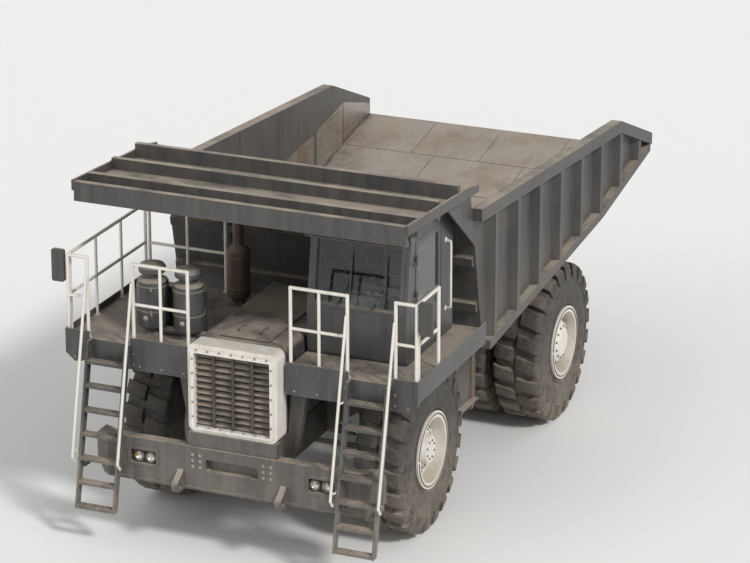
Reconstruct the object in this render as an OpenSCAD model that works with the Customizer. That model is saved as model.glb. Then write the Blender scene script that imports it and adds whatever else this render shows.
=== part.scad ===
// Rigid-frame rear-dump mining truck. Millimetres, +X forward, +Y left, +Z up.
// The origin is on the ground, midway between the front ladders and the tail of the bed.

/* [Wheelbase] */
// Distance between the front and rear axles
wheelbase = 4200; // [4000:50:4500]
// Front axle to the foremost point of the ladders
front_overhang = 2150; // [2150:50:2300]
// Rear axle to the tail of the bed
rear_overhang = 3250; // [3150:50:3400]

/* [Wheels] */
// Diameter over the flats of the tread lugs
tyre_d = 2170; // [2130:10:2190]
// Width of a tyre at its widest
tyre_w = 650; // [620:10:660]
// Depth of the grooves between the lugs
lug_depth = 70; // [50:5:80]
// Number of lugs round one shoulder of a tyre
lug_count = 22; // [20:2:26]
// Wall thickness of a tyre's carcass
carcass_t = 70; // [50:5:80]
// Seat diameter of a rim
rim_d = 889; // [860:1:900]
// Between the centres of the front tyres
front_track = 3200; // [3180:10:3240]
// Between the centres of the pairs of rear tyres
rear_track = 2900; // [2890:10:2920]
// Between the centres of two twin tyres
twin_spacing = 760; // [750:5:770]

/* [Frame] */
// Centreline to the middle of a frame rail
rail_y = 430; // [425:5:435]
// Width of a box-section frame rail
rail_w = 220; // [200:10:225]
// Height of a frame rail
rail_h = 440; // [400:10:460]
// Underside of the rails ahead of the step
rail_z = 1180; // [1160:10:1200]
// Rise of the rails over the rear axle
rail_step = 340; // [320:10:360]
// Height of the bed's pivot pins
pivot_z = 2000; // [1990:5:2020]
// Radius of the bed's pivot pins
pivot_r = 60; // [50:5:70]

/* [Steering] */
// Centre of a front tyre in to its kingpin
kingpin_in = 520; // [510:5:530]
// Length of a steering arm
steer_arm = 380; // [360:10:400]

/* [Bed] */
// Outer width over the side plates
bed_w = 4260; // [4200:20:4320]
// Thickness of the floor plate
floor_t = 30; // [20:2:40]
// Thickness of the side plates and the headboard
side_t = 25; // [20:1:35]
// Height of the floor at its front edge
floor_z = 2100; // [2080:10:2160]
// Rise of the floor from its front edge to the tail plate
floor_rise = 420; // [400:10:460]
// Rise of the tail plate
tail_rise = 380; // [340:10:420]
// Top of the headboard
head_z = 4330; // [4300:10:4400]
// Height of the side's top edge at the headboard
side_z = 4080; // [4000:10:4150]
// Depth of the side ribs
rib_d = 105; // [80:5:120]

/* [Deck and cab] */
// Height of the deck's walking surface
deck_z = 2560; // [2540:10:2600]
// Half width of the deck
deck_y = 2380; // [2360:10:2400]
// Half width of the bonnet
hood_y = 600; // [580:10:610]
// Height of the bonnet's top
hood_z = 2780; // [2740:10:2820]
// Length of the cab
cab_l = 1500; // [1460:10:1540]
// Width of the cab
cab_w = 1320; // [1280:10:1360]
// Height of the cab
cab_h = 1640; // [1600:10:1660]
// Thickness of the cab's walls and door
cab_t = 50; // [40:5:60]
// Diameter of a handrail tube
handrail_d = 44; // [38:1:50]
// Height of the handrails
handrail_h = 1050; // [1000:10:1100]

/* [Hidden] */

// Colours
charcoal = [0.20, 0.20, 0.21];
dark_steel = [0.13, 0.13, 0.135];
rubber = [0.07, 0.07, 0.072];
off_white = [0.86, 0.84, 0.79];
chrome = [0.75, 0.76, 0.78];
glass = [0.30, 0.36, 0.40, 0.5];
amber = [0.85, 0.80, 0.70];

// Places along the truck
nose_x = (front_overhang + wheelbase + rear_overhang) / 2;
tail_x = -nose_x;
front_x = nose_x - front_overhang;
rear_x = front_x - wheelbase;

// Tyre: the flats of one row of lugs and the corners of the other reach the ground
wheel_r = tyre_d / 2;
lug_pitch = 360 / lug_count;
lug_half = 0.30 * lug_pitch;
lug_root = 0.40 * lug_pitch;
lug_sunk = 50;
hub_z = wheel_r * cos(lug_pitch / 2 - lug_half) / cos(lug_half);
rim_r = rim_d / 2;
bead_gap = 0.3;
run_gap = 0.5;

// Frame
rail_in = rail_y - rail_w / 2;
rail_out = rail_y + rail_w / 2;
rail_front = nose_x - 470;
step_front = rear_x + 2350;
step_rear = rear_x + 1150;
pivot_x = rear_x - 1350;
rail_end = pivot_x - 190;
bumper_d = 150;
link_x = step_rear - 150;
link_top = rail_z + rail_step + 260;
torque_r = 120;
engine_x = front_x - 420;
gearbox_x = front_x - 1500;
torque_x = step_rear + 50;
axle_r = 150;
strut_y = rail_in - 160;
ear_r = 150;
ear_t = 40;
ear_reach = 330;
ear_rise = 250;
pivot_gap = 8;
cross_tube_r = 110;

// Hoist pins at rest: base on the frame, top under the bed
hoist_x0 = rear_x + 1350;
hoist_z0 = 750;
hoist_x1 = rear_x + 1600;
hoist_z1 = 2100;
hoist_y = 690;
hoist_l = norm([hoist_x1 - hoist_x0, hoist_z1 - hoist_z0]);
hoist_tilt = atan2(hoist_x1 - hoist_x0, hoist_z1 - hoist_z0);
hoist_pin_r = 55;
hoist_r = 105;
stage_r = 91;
inner_r = 76;
rod_r = 60;
hoist_ear_y = 66;
hoist_foot = 100;
hoist_eye_half = 60;
gland_h = 12;
gland_d = 6;
hoist_cross_r = 90;
hoist_cross_end = 75;

// Front struts and steering
kingpin_y = front_track / 2 - kingpin_in;
strut_r = 150;
strut_rod_r = 105;
strut_top = 2330;
strut_bottom = hub_z + 380;
arm_z = hub_z - 210;
arm_t = 60;
arm_x = front_x - steer_arm;
tie_z = arm_z - 80;
ram_z = arm_z + arm_t + 60;
ram_base_y = 150;
ram_r = 30;
ram_end_y = kingpin_y - 370;
ram_foot_y = kingpin_y - 640;
spindle_r = 120;
tie_pin_r = 28;

// Bed
bed_x = front_x - 1200;
break_x = rear_x - 1250;
bed_in = bed_w / 2 - side_t;
bed_out = bed_w / 2;
head_x = bed_x + 480;
canopy_x = nose_x - 560;
top_rail_h = 170;
side_break_x = rear_x - 1900;
beam_gap = 1;
weld_gap = 0.3;
rib_count = 8;
rib_front = bed_x - 170;
rib_step = (rib_front - tail_x - 480) / (rib_count - 1);
rib_w = 160;
rib_face = 96;
head_rib_z = [floor_z + 500, floor_z + 1150, floor_z + 1800];
head_rib_y = [-1300, 0, 1300];
head_rib_h = 150;
head_rib_d = 75;
// Gussets under the canopy: [inner face, foot above the floor's front edge, reach along the canopy]
gussets = [[bed_in, 1460, 820], [400, 1975, 650]];

// Tow eyes and ladders
tow_y = 700;
tow_z = 930;
tow_r = 40;
tow_t = 80;
ladder_y = 1510;
ladder_w = 490;
stringer_t = 30;
step_count = 7;
step_z0 = 500;
step_rise = 300;

// Deck and cab
deck_t = 60;
deck_x0 = front_x - 640;
deck_x1 = nose_x - 550;
deck_in = hood_y + 30;
grille_z0 = rail_z + rail_h + 80;
grille_z1 = hood_z - 110;
cab_x0 = deck_x0 + 120;
cab_y0 = deck_in + 20;
cab_x1 = cab_x0 + cab_l;
cab_y1 = cab_y0 + cab_w;
cab_top = deck_z + cab_h;
sill_z = deck_z + 640;
screen_lean = 160;
door_x1 = cab_x1 - screen_lean - 120;
door_x0 = door_x1 - 820;
door_gap = 6;
door_top = cab_top - 110;
door_bottom = deck_z + 90;
glass_t = 12;
mirror_y = deck_y + 170;
toe_h = 90;
slat_count = 12;
slot_count = 9;
cleaner_y = [-900, -1400];
lamp_y = 1210;
lamp_w = 350;
lamp_z = 1190;
seat_x = cab_x0 + 385;
seat_y = (cab_y0 + cab_y1) / 2;
hinge_x = door_x1 + 3;
hinge_y = cab_y1 + 18;
hinge_r = 9;
hinge_z = [door_bottom + 180, (door_bottom + door_top) / 2, door_top - 260];

function floor_top(x) = x > break_x
  ? floor_z + floor_rise * (bed_x - x) / (bed_x - break_x)
  : floor_z + floor_rise + tail_rise * (break_x - x) / (break_x - tail_x);
function floor_under(x) = floor_top(x) - floor_t - weld_gap;
function side_top(x) = x > side_break_x
  ? side_z - (side_z - 3700) * (head_x - x) / (head_x - side_break_x)
  : 3700 - 560 * (side_break_x - x) / (side_break_x - tail_x);
function rail_top(x) = x > step_front ? rail_z + rail_h
  : x < step_rear ? rail_z + rail_h + rail_step
  : rail_z + rail_h + rail_step * (step_front - x) / (step_front - step_rear);
function canopy_under(x) = head_z + 145 * (x - head_x - side_t) / (canopy_x - head_x - side_t);
function head_at(z) = bed_x + (head_x - bed_x) * (z - floor_z) / (head_z - floor_z);
// Front face of the headboard at height z
function head_face(z) = bed_x + side_t + (head_x - bed_x) * (z - floor_z + floor_t) / (head_z - floor_z + floor_t);
// An outline with every corner rounded to r by n short chords
function soften(points, r, n = 4) = [
  for (i = [0:len(points) - 1], k = [0:n])
    let (
      b = points[i],
      u = unit(points[(i + len(points) - 1) % len(points)] - b),
      v = unit(points[(i + 1) % len(points)] - b),
      half = acos(u * v) / 2,
      centre = b + unit(u + v) * r / sin(half),
      from = b + u * r / tan(half) - centre,
      to = b + v * r / tan(half) - centre,
      start = atan2(from[1], from[0]),
      swing = (atan2(to[1], to[0]) - start + 540) % 360 - 180
    )
    centre + r * [cos(start + swing * k / n), sin(start + swing * k / n)]
];
function unit(v) = v / norm(v);

// An outline in X and Z, extruded from y0 to y1
module xz(points, y0, y1) {
  translate([0, y1, 0]) rotate([90, 0, 0]) linear_extrude(y1 - y0) polygon(points);
}
// An outline in Y and Z, extruded from x0 to x1
module yz(points, x0, x1) {
  translate([x0, 0, 0]) rotate([90, 0, 90]) linear_extrude(x1 - x0) polygon(points);
}
module block(x0, x1, y0, y1, z0, z1) {
  translate([x0, y0, z0]) cube([x1 - x0, y1 - y0, z1 - z0]);
}
module y_bar(x, z, r, y0, y1, fn = 48) {
  translate([x, y1, z]) rotate([90, 0, 0]) cylinder(h = y1 - y0, r = r, $fn = fn);
}
// A round tube's outside from p to q
module bar(p, q, r, fn = 24) {
  v = q - p;
  translate(p) rotate([0, acos(v[2] / norm(v)), atan2(v[1], v[0])]) cylinder(h = norm(v), r = r, $fn = fn);
}
module on_side(s) {
  if (s > 0) children();
  else mirror([0, 1, 0]) children();
}
// A rectangle of w by h about its middle, with round corners
module rounded(w, h, r) {
  square([w - 2 * r, h], center = true);
  square([w, h - 2 * r], center = true);
  for (x = [-1, 1], y = [-1, 1])
    translate([x * (w / 2 - r), y * (h / 2 - r)]) circle(r = r, $fn = 48);
}
// A drawing in Y and Z, extruded from x0 to x1
module along_x(x0, x1) {
  translate([x0, 0, 0]) rotate([90, 0, 90]) linear_extrude(x1 - x0) children();
}
// A window from corner [a, z0] to corner [b, z1], along X or Y
module pane_x(x0, x1, a, b, z0, z1, r) {
  along_x(x0, x1) translate([(a + b) / 2, (z0 + z1) / 2]) rounded(b - a, z1 - z0, r);
}
module pane_y(y0, y1, a, b, z0, z1, r) {
  translate([(a + b) / 2, y1, (z0 + z1) / 2]) rotate([90, 0, 0]) linear_extrude(y1 - y0) rounded(b - a, z1 - z0, r);
}
// Round tube through a list of points, its bends and ends closed by slightly wider balls
module tube(points, r) {
  for (i = [0:len(points) - 2]) bar(points[i], points[i + 1], r);
  for (p = points) translate(p) sphere(r = 1.04 * r, $fn = 32);
}
module both_sides() {
  for (s = [1, -1]) on_side(s) children();
}

module frame_rails() {
  color(dark_steel) both_sides() difference() {
    union() {
      xz([
        [rail_front, rail_z], [step_front, rail_z], [step_rear, rail_z + rail_step],
        [rail_end + 60, rail_z + rail_step], [rail_end, rail_z + rail_step + 60],
        [rail_end, rail_top(rail_end)], [step_rear, rail_top(step_rear)], [step_front, rail_top(step_front)],
        [rail_front, rail_top(rail_front)]
      ], rail_in, rail_out);
      y_bar(pivot_x, pivot_z, ear_r, rail_in, rail_out);
      // Hanger of the hoist's cross tube
      xz([
        [hoist_x0 + 330, rail_z + rail_h / 2], [hoist_x0 - 330, rail_z + rail_h / 2 + rail_step / 2],
        [hoist_x0 - 130, hoist_z0 - 130], [hoist_x0 + 130, hoist_z0 - 130]
      ], rail_y - 30, rail_y + 30);
    }
    y_bar(hoist_x0, hoist_z0, hoist_cross_r + run_gap, rail_in - 1, rail_out + 1);
  }
  color(chrome) both_sides() {
    y_bar(pivot_x, pivot_z, pivot_r, rail_out, rail_out + pivot_gap + ear_t + 14);
    y_bar(pivot_x, pivot_z, pivot_r, rail_in - pivot_gap - ear_t - 14, rail_in);
  }
}

module crossmembers() {
  color(dark_steel) {
    // Tubes between the rails: place x, height z
    for (t = [[gearbox_x - 250, rail_z + rail_h - 120], [link_x, link_top]])
      y_bar(t[0], t[1], cross_tube_r, -rail_in, rail_in);
    // Hanger of the rear axle's torque tube
    block(link_x - 60, link_x + 60, -80, 80, hub_z + torque_r, link_top - 60);
    // Box that carries the rear struts, and the end box
    block(rear_x - 640, rear_x - 400, -rail_in, rail_in, rail_z + rail_step + 180, rail_z + rail_step + rail_h - 20);
    block(rail_end + 10, rail_end + 200, -rail_in, rail_in, rail_z + rail_step + 20, rail_z + rail_step + 240);
    // Front box between the struts
    block(front_x - 170, front_x + 170, -rail_in, rail_in, rail_z + 60, rail_z + rail_h - 20);
    // Bracket of the steering rams
    block(arm_x - 90, arm_x + 90, -rail_in, rail_in, rail_z + 20, rail_z + 120);
    block(arm_x - 60, arm_x + 60, -ram_base_y + 62, ram_base_y - 62, ram_z - 70, rail_z + 20);
    // Cross tube of the hoist with its two pins
    y_bar(hoist_x0, hoist_z0, hoist_cross_r, -hoist_y + hoist_cross_end, hoist_y - hoist_cross_end);
    for (s = [1, -1]) on_side(s) {
      y_bar(hoist_x0, hoist_z0, hoist_pin_r, hoist_y - hoist_cross_end, hoist_y + 80);
      y_bar(hoist_x0, hoist_z0, hoist_pin_r + 22, hoist_y + 66, hoist_y + 90);
    }
  }
}

// Fixed tube of a front strut and the arm that joins it to the rail
module strut_mounts() {
  // Tube with its end collars: [radius, height]
  tube_r = [
    [0, strut_top], [0, strut_bottom], [strut_r + 14, strut_bottom], [strut_r + 14, strut_bottom + 55],
    [strut_r, strut_bottom + 65], [strut_r, strut_top - 90], [strut_r + 18, strut_top - 80],
    [strut_r + 18, strut_top - 45], [strut_r - 25, strut_top]
  ];
  color(dark_steel) both_sides() difference() {
    union() {
      translate([front_x, kingpin_y, 0]) rotate_extrude($fn = 64) polygon(tube_r);
      yz([
        [rail_out, rail_z + 40], [rail_out, rail_z + rail_h - 10], [kingpin_y, strut_top - 120],
        [kingpin_y, strut_bottom + 90]
      ], front_x - 125, front_x + 125);
      // Flanges along the arm
      for (x = [front_x - 145, front_x + 105])
        yz([
          [rail_out, rail_z + 10], [rail_out, rail_z + rail_h], [kingpin_y - 60, strut_top - 70],
          [kingpin_y - 60, strut_bottom + 70]
        ], x, x + 40);
    }
    translate([front_x, kingpin_y, strut_bottom - 1]) cylinder(h = 420, r = strut_rod_r + run_gap, $fn = 48);
  }
}

module bumper() {
  x1 = rail_front + bumper_d;
  color(charcoal) {
    difference() {
      union() {
        intersection() {
          yz(soften([
            [-1950, 1000], [-1800, 860], [1800, 860], [1950, 1000], [1950, 1330], [1850, 1430],
            [-1850, 1430], [-1950, 1330]
          ], 40, 3), rail_front - 200, x1);
          translate([0, 0, 800]) linear_extrude(700) polygon(soften([
            [rail_front, -1600], [rail_front - 150, -1960], [rail_front - 40, -1960], [x1, -1700],
            [x1, 1700], [rail_front - 40, 1960], [rail_front - 150, 1960], [rail_front, 1600]
          ], 35, 3));
        }
        block(rail_front, x1 - 30, -hood_y, hood_y, 1420, rail_z + rail_h);
        both_sides() {
          tow_lug();
          // Brackets of the ladders
          for (y = [ladder_y, ladder_y + ladder_w - 40])
            block(x1 - 90, ladder_x(step_z0 + 510) - 30, y, y + 40, step_z0 + 480, step_z0 + 540);
          // Raised frame round the lamps
          pane_x(x1 - 20, x1 + 12, lamp_y - lamp_w / 2 - 35, lamp_y + lamp_w / 2 + 35, lamp_z - 125, lamp_z + 125, 50);
        }
        // Lower lip
        block(x1 - 20, x1 + 10, -1600, 1600, 880, 905);
      }
      both_sides() {
        y_bar(rail_front + 260, tow_z, tow_r, tow_y - tow_t, tow_y + tow_t);
        pane_x(x1 - 70, x1 + 13, lamp_y - lamp_w / 2, lamp_y + lamp_w / 2, lamp_z - 90, lamp_z + 90, 30);
      }
      // Step in the middle of the bumper
      pane_x(x1 - 90, x1 + 13, -360, 360, 1130, 1290, 40);
    }
  }
}
// Plate of a tow eye, square to the bumper
module tow_lug() {
  x = rail_front + 260;
  y_bar(x, tow_z, tow_r + 45, tow_y - tow_t / 2, tow_y + tow_t / 2);
  xz([
    [rail_front + bumper_d - 40, tow_z - tow_r - 40], [x, tow_z - tow_r - 45], [x + 30, tow_z + tow_r + 30],
    [rail_front + bumper_d - 40, tow_z + tow_r + 170]
  ], tow_y - tow_t / 2, tow_y + tow_t / 2);
}

module rear_axle() {
  color(dark_steel) {
    // Half of the housing and the spindle: [radius, place along the axle]
    both_sides() translate([rear_x, 0, hub_z]) rotate([-90, 0, 0]) rotate_extrude($fn = 64) polygon([
      [0, 0], [330, 0], [330, 150], [318, 190], [245, 320], [205, 400], [185, 430], [185, 620], [215, 630],
      [215, 665], [185, 675], [185, 700], [axle_r, 700], [axle_r, rear_track / 2 - 150],
      [0, rear_track / 2 - 150]
    ]);
    // Cover at the back: [radius, place behind the axle]
    translate([rear_x, 0, hub_z]) rotate([0, -90, 0]) rotate_extrude($fn = 64) polygon([
      [0, 0], [300, 0], [300, 300], [250, 315], [240, 345], [190, 385], [0, 400]
    ]);
    // Nose, torque tube and its collar ahead of the housing
    translate([rear_x, 0, hub_z]) rotate([0, 90, 0]) rotate_extrude($fn = 64) polygon([
      [0, 0], [290, 0], [290, 300], [200, 480], [torque_r, 560], [torque_r, torque_x - rear_x - 130],
      [torque_r + 35, torque_x - rear_x - 120], [torque_r + 35, torque_x - rear_x], [0, torque_x - rear_x]
    ]);
    // Pads of the rear struts
    both_sides() xz(soften([
      [rear_x - 620, hub_z - 60], [rear_x - 150, hub_z - 150], [rear_x - 150, hub_z + 150], [rear_x - 400, hub_z + 60],
      [rear_x - 620, hub_z + 60]
    ], 20, 2), strut_y - 75, strut_y + 75);
  }
}

module rear_struts() {
  z0 = hub_z + 60;
  z1 = rail_z + rail_step + 180;
  split = z1 - 320;
  color(dark_steel) both_sides() translate([rear_x - 520, strut_y, 0]) rotate_extrude($fn = 64) polygon([
    [0, z1], [0, split], [122, split], [122, split + 45], [105, split + 55], [105, z1 - 50], [118, z1 - 40],
    [118, z1]
  ]);
  color(chrome) both_sides() translate([rear_x - 520, strut_y, 0]) rotate_extrude($fn = 64) polygon([
    [0, z0], [112, z0], [112, z0 + 30], [78, z0 + 45], [78, split + 10], [0, split + 10]
  ]);
}

module engine_block() {
  z0 = rail_z + rail_h - 20;
  x1 = front_x + 1150;
  color(dark_steel) {
    // Crankcase with two banks of heads
    yz(soften([
      [-250, z0], [250, z0], [300, z0 + 120], [300, z0 + 420], [430, z0 + 640], [300, z0 + 850], [130, z0 + 760],
      [-130, z0 + 760], [-300, z0 + 850], [-430, z0 + 640], [-300, z0 + 420], [-300, z0 + 120]
    ], 25, 2), engine_x, x1);
    // Sump between the rails, and the fan with its hub
    yz(soften([[-230, z0 + 10], [-180, z0 - 230], [180, z0 - 230], [230, z0 + 10]], 30, 2), front_x + 260, x1 - 60);
    translate([x1, 0, z0 + 480]) rotate([0, 90, 0]) rotate_extrude($fn = 64)
      polygon([[0, -1], [90, -1], [90, 90], [400, 100], [400, 160], [90, 170], [70, 200], [0, 200]]);
  }
}

module drivetrain() {
  z0 = hub_z - 80;
  z1 = rail_z + rail_h + 60;
  color(dark_steel) {
    pane_x(gearbox_x, engine_x - 80, -250, 250, z0, z1, 70);
    // Ribs round the gearbox and the bell housing behind the engine
    for (x = [gearbox_x + 40, gearbox_x + 340, gearbox_x + 640]) pane_x(x, x + 40, -265, 265, z0 - 12, z1 + 12, 80);
    pane_x(engine_x - 80, engine_x, -290, 290, rail_z + 160, rail_z + rail_h + 380, 120);
    // Propeller shaft with a flange at each end: [radius, place along it]
    translate([torque_x, 0, hub_z]) rotate([0, 90, 0]) rotate_extrude($fn = 64) polygon([
      [0, 0], [105, 0], [105, 35], [80, 45], [80, 110], [65, 140], [65, gearbox_x - torque_x - 140],
      [80, gearbox_x - torque_x - 110], [80, gearbox_x - torque_x - 45], [105, gearbox_x - torque_x - 35],
      [105, gearbox_x - torque_x + 5], [0, gearbox_x - torque_x + 5]
    ]);
  }
}

module radiator() {
  z0 = grille_z0 - 80;
  color(off_white) difference() {
    union() {
      pane_x(nose_x - 640, rail_front + 100, -hood_y, hood_y, z0, hood_z, 90);
      // Raised rim round the grille
      pane_x(rail_front + 99, rail_front + 125, -hood_y + 45, hood_y - 45, z0 + 45, hood_z - 60, 60);
    }
    pane_x(nose_x - 560, rail_front + 126, -hood_y + 90, hood_y - 90, grille_z0, grille_z1, 10);
  }
}

// Slats and uprights in front of the radiator core
module grille() {
  x = rail_front + 70;
  step = (grille_z1 - grille_z0) / slat_count;
  color(dark_steel) {
    // Slats tilted down to the front
    for (i = [0:slat_count - 1]) {
      z = grille_z0 + (i + 0.5) * step;
      xz([[x - 60, z + 6], [x - 4, z - 26], [x - 4, z - 14], [x - 60, z + 18]], -hood_y + 90, hood_y - 90);
    }
    for (i = [-1:1])
      block(x - 10, x + 14, i * 260 - 14, i * 260 + 14, grille_z0, grille_z1);
  }
}

module hood() {
  z0 = rail_z + rail_h + 90;
  x0 = deck_x0 + 60;
  x1 = nose_x - 640;
  low = 400;
  color(charcoal) {
    // Feet on the frame rails
    both_sides() for (x = [deck_x0 + 150, front_x + 1200])
      block(x, x + 120, rail_y, hood_y - 5, rail_z + rail_h, rail_z + rail_h + 130);
    difference() {
      union() {
        pane_x(x0, x1, -hood_y, hood_y, z0 - low, hood_z, 110);
        // Raised panel on the top
        pane_x(x0 + 200, x1 - 90, -330, 330, hood_z - 60, hood_z + 22, 21);
      }
      pane_x(x0 - 1, x1 + 1, -hood_y + 25, hood_y - 25, z0 - low - 30, hood_z - 25, 85);
      block(x0 - 1, x1 + 1, -hood_y - 1, hood_y + 1, z0 - low - 1, z0);
      // Air slots along both sides
      for (i = [0:slot_count - 1])
        pane_y(-hood_y - 1, hood_y + 1, x0 + 300 + i * 110, x0 + 345 + i * 110, z0 + 180, deck_z - 330, 20);
    }
  }
}

module deck() {
  color(charcoal) both_sides() {
    block(deck_x0, deck_x1, deck_in, deck_y, deck_z - deck_t, deck_z);
    // Apron below the front edge, with its lower corners cut
    yz([
      [deck_in, deck_z - 330], [deck_in, deck_z - deck_t], [deck_y, deck_z - deck_t], [deck_y, deck_z - 230],
      [deck_y - 120, deck_z - 330]
    ], deck_x1 - 50, deck_x1);
    // Folded skirt along the outer edge
    block(deck_x0, deck_x1 - 50, deck_y - 20, deck_y, deck_z - 190, deck_z - deck_t);
    // Beams under the plate, drawn in at the outer end
    for (x = [deck_x0 + 60, front_x, deck_x1 - 170])
      yz([
        [deck_in, deck_z - deck_t - 130], [deck_in, deck_z - deck_t], [deck_y - 20, deck_z - deck_t],
        [deck_y - 20, deck_z - deck_t - 60], [deck_y - 300, deck_z - deck_t - 130]
      ], x - 60, x + 60);
    // Toe boards at the outer and front edges
    block(deck_x0, deck_x1 - 11, deck_y - 10, deck_y, deck_z + weld_gap, deck_z + toe_h);
    for (run = [[deck_in, ladder_y - 40], [ladder_y + ladder_w + 40, deck_y]])
      block(deck_x1 - 10, deck_x1, run[0], run[1], deck_z + weld_gap, deck_z + toe_h);
  }
}

module deck_supports() {
  color(dark_steel) both_sides() for (x = [deck_x0 + 60, deck_x1 - 170])
    yz([
      [rail_out, rail_z + rail_h - 300], [rail_out, rail_z + rail_h - 20], [hood_y + 12, rail_z + rail_h + 70],
      [deck_in + 40, deck_z - deck_t - 130], [deck_in + 260, deck_z - deck_t - 130],
      [rail_out + 200, rail_z + rail_h - 120], [rail_out + 100, rail_z + rail_h - 300]
    ], x - 50, x + 50);
}

module ladders() {
  color(charcoal) both_sides() {
    // Two sloping stringers and the treads between them
    for (y = [ladder_y - stringer_t, ladder_y + ladder_w])
      xz([
        [nose_x - 100, step_z0 - 20], [nose_x, step_z0 - 20], [deck_x1 + 110, deck_z], [deck_x1, deck_z],
        [deck_x1, deck_z - 60]
      ], y, y + stringer_t);
    for (i = [0:step_count - 1]) {
      z = step_z0 + i * step_rise;
      // Tread with turned-down front and back edges
      block(ladder_x(z) - 62, ladder_x(z) + 55, ladder_y, ladder_y + ladder_w, z + 17, z + 25);
      for (x = [ladder_x(z) - 62, ladder_x(z) + 47]) block(x, x + 8, ladder_y, ladder_y + ladder_w, z - 15, z + 25);
    }
  }
  color(off_white) both_sides() for (side = [[ladder_y - 70, 1], [ladder_y + ladder_w + 70, -1]]) grab_rail(side[0], side[1]);
}
// Rail beside a ladder, with two stays to the stringer on its `toward` side
module grab_rail(y, toward) {
  low = step_z0 + 560;
  high = deck_z - 250;
  top = deck_z + handrail_h - 250;
  r = handrail_d / 2 - 4;
  tube([
    [ladder_x(low) + 60, y, low], [ladder_x(low) + 120, y, low + 80], [deck_x1 - 40 + handrail_d / 2 + 1.05 * r, y, top]
  ], r);
  for (z = [low + 160, high])
    bar([ladder_x(z) + 20, y + toward * (70 - stringer_t + 5), z], [ladder_x(z) + 120, y, z], r - 4);
}
// Middle of the sloping stringers at height z
function ladder_x(z) = nose_x - 50 + (deck_x1 + 105 - nose_x) * (z - step_z0 + 20) / (deck_z - step_z0 + 20);

// Deck rails: [start x, start y, end x, end y] of each straight run, on the left
module handrails() {
  edge = deck_y - 40;
  front = deck_x1 - 40;
  color(off_white) {
    both_sides() {
      rail_run([front, deck_in + 60], [front, ladder_y - 70], 2);
      rail_run([front, ladder_y + ladder_w + 70], [front, edge], 1);
    }
    rail_run([front - 60, edge], [door_x1 + 160, edge], 1);
    mirror([0, 1, 0]) rail_run([front - 60, edge], [deck_x0 + 60, edge], 3);
    // Rail across the back of the right deck
    mirror([0, 1, 0]) rail_run([deck_x0 + 60, edge - 60], [deck_x0 + 60, deck_in + 560], 2);
  }
}
module rail_run(a, b, bays) {
  r = handrail_d / 2;
  top = deck_z + handrail_h;
  tube([[a[0], a[1], deck_z + 30], [a[0], a[1], top], [b[0], b[1], top], [b[0], b[1], deck_z + 30]], r);
  bar([a[0], a[1], deck_z + handrail_h / 2], [b[0], b[1], deck_z + handrail_h / 2], r - 2);
  for (i = [0:bays]) {
    p = a + (b - a) * i / bays;
    bar([p[0], p[1], deck_z + 1], [p[0], p[1], top - 1], r - 2);
    // Foot plate
    translate([p[0], p[1], deck_z]) cylinder(h = 12, r = r + 6, $fn = 32);
  }
}

// Side tanks, hung from the rails by two brackets each
tank_x0 = hoist_x0 + 460;
tank_x1 = front_x - 1480;
tank_y0 = rail_out + 60;
tank_y1 = 1560;
tank_top = rail_z + rail_h;
fuel_h = 900;
oil_h = 760;
module side_tank(z0, z1) {
  y0 = tank_y0;
  y1 = tank_y1;
  pane_x(tank_x0, tank_x1, y0, y1, z0, z1, 110);
  // End rims and two straps, each with its bracket to the rail
  for (x = [tank_x0 + 12, tank_x1 - 30]) pane_x(x, x + 18, y0 - 8, y1 + 8, z0 - 8, z1 + 8, 118);
  for (x = [tank_x0 + 120, tank_x1 - 220]) {
    pane_x(x + 15, x + 85, y0 - 10, y1 + 10, z0 - 10, z1 + 10, 120);
    xz([[x, rail_z + 20], [x + 100, rail_z + 20], [x + 100, rail_z + 300], [x, rail_z + 300]], rail_out, tank_y0 + 20);
  }
}
module fuel_tank() {
  color(charcoal) {
    side_tank(tank_top - fuel_h, tank_top);
    filler(tank_x1 - 260, tank_y1 - 200, tank_top, 70);
    // Step under the tank's outer edge
    block(tank_x0 + 100, tank_x1 - 100, tank_y1 - 60, tank_y1 + 90, tank_top - fuel_h + 170, tank_top - fuel_h + 190);
    for (x = [tank_x0 + 135, tank_x1 - 205])
      xz([[x, tank_top - fuel_h + 40], [x + 70, tank_top - fuel_h + 40], [x + 70, tank_top - fuel_h + 175],
        [x, tank_top - fuel_h + 175]], tank_y1 - 30, tank_y1 + 30);
  }
}
// Filler neck with its cap
module filler(x, y, z, r) {
  translate([x, y, z - 12]) rotate_extrude($fn = 48) polygon([
    [0, 0], [r + 25, 0], [r + 25, 22], [r, 30], [r, 70], [r + 14, 74], [r + 14, 108], [r - 10, 120], [0, 120]
  ]);
}
module hydraulic_tank() {
  color(charcoal) mirror([0, 1, 0]) {
    side_tank(tank_top - 60 - oil_h, tank_top - 60);
    filler(tank_x0 + 270, tank_y1 - 200, tank_top - 60, 55);
    // Return filter beside the filler
    translate([tank_x1 - 260, tank_y1 - 230, tank_top - 70]) rotate_extrude($fn = 48) polygon([
      [0, 0], [90, 0], [90, 130], [105, 135], [105, 165], [60, 190], [0, 195]
    ]);
  }
}

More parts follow.
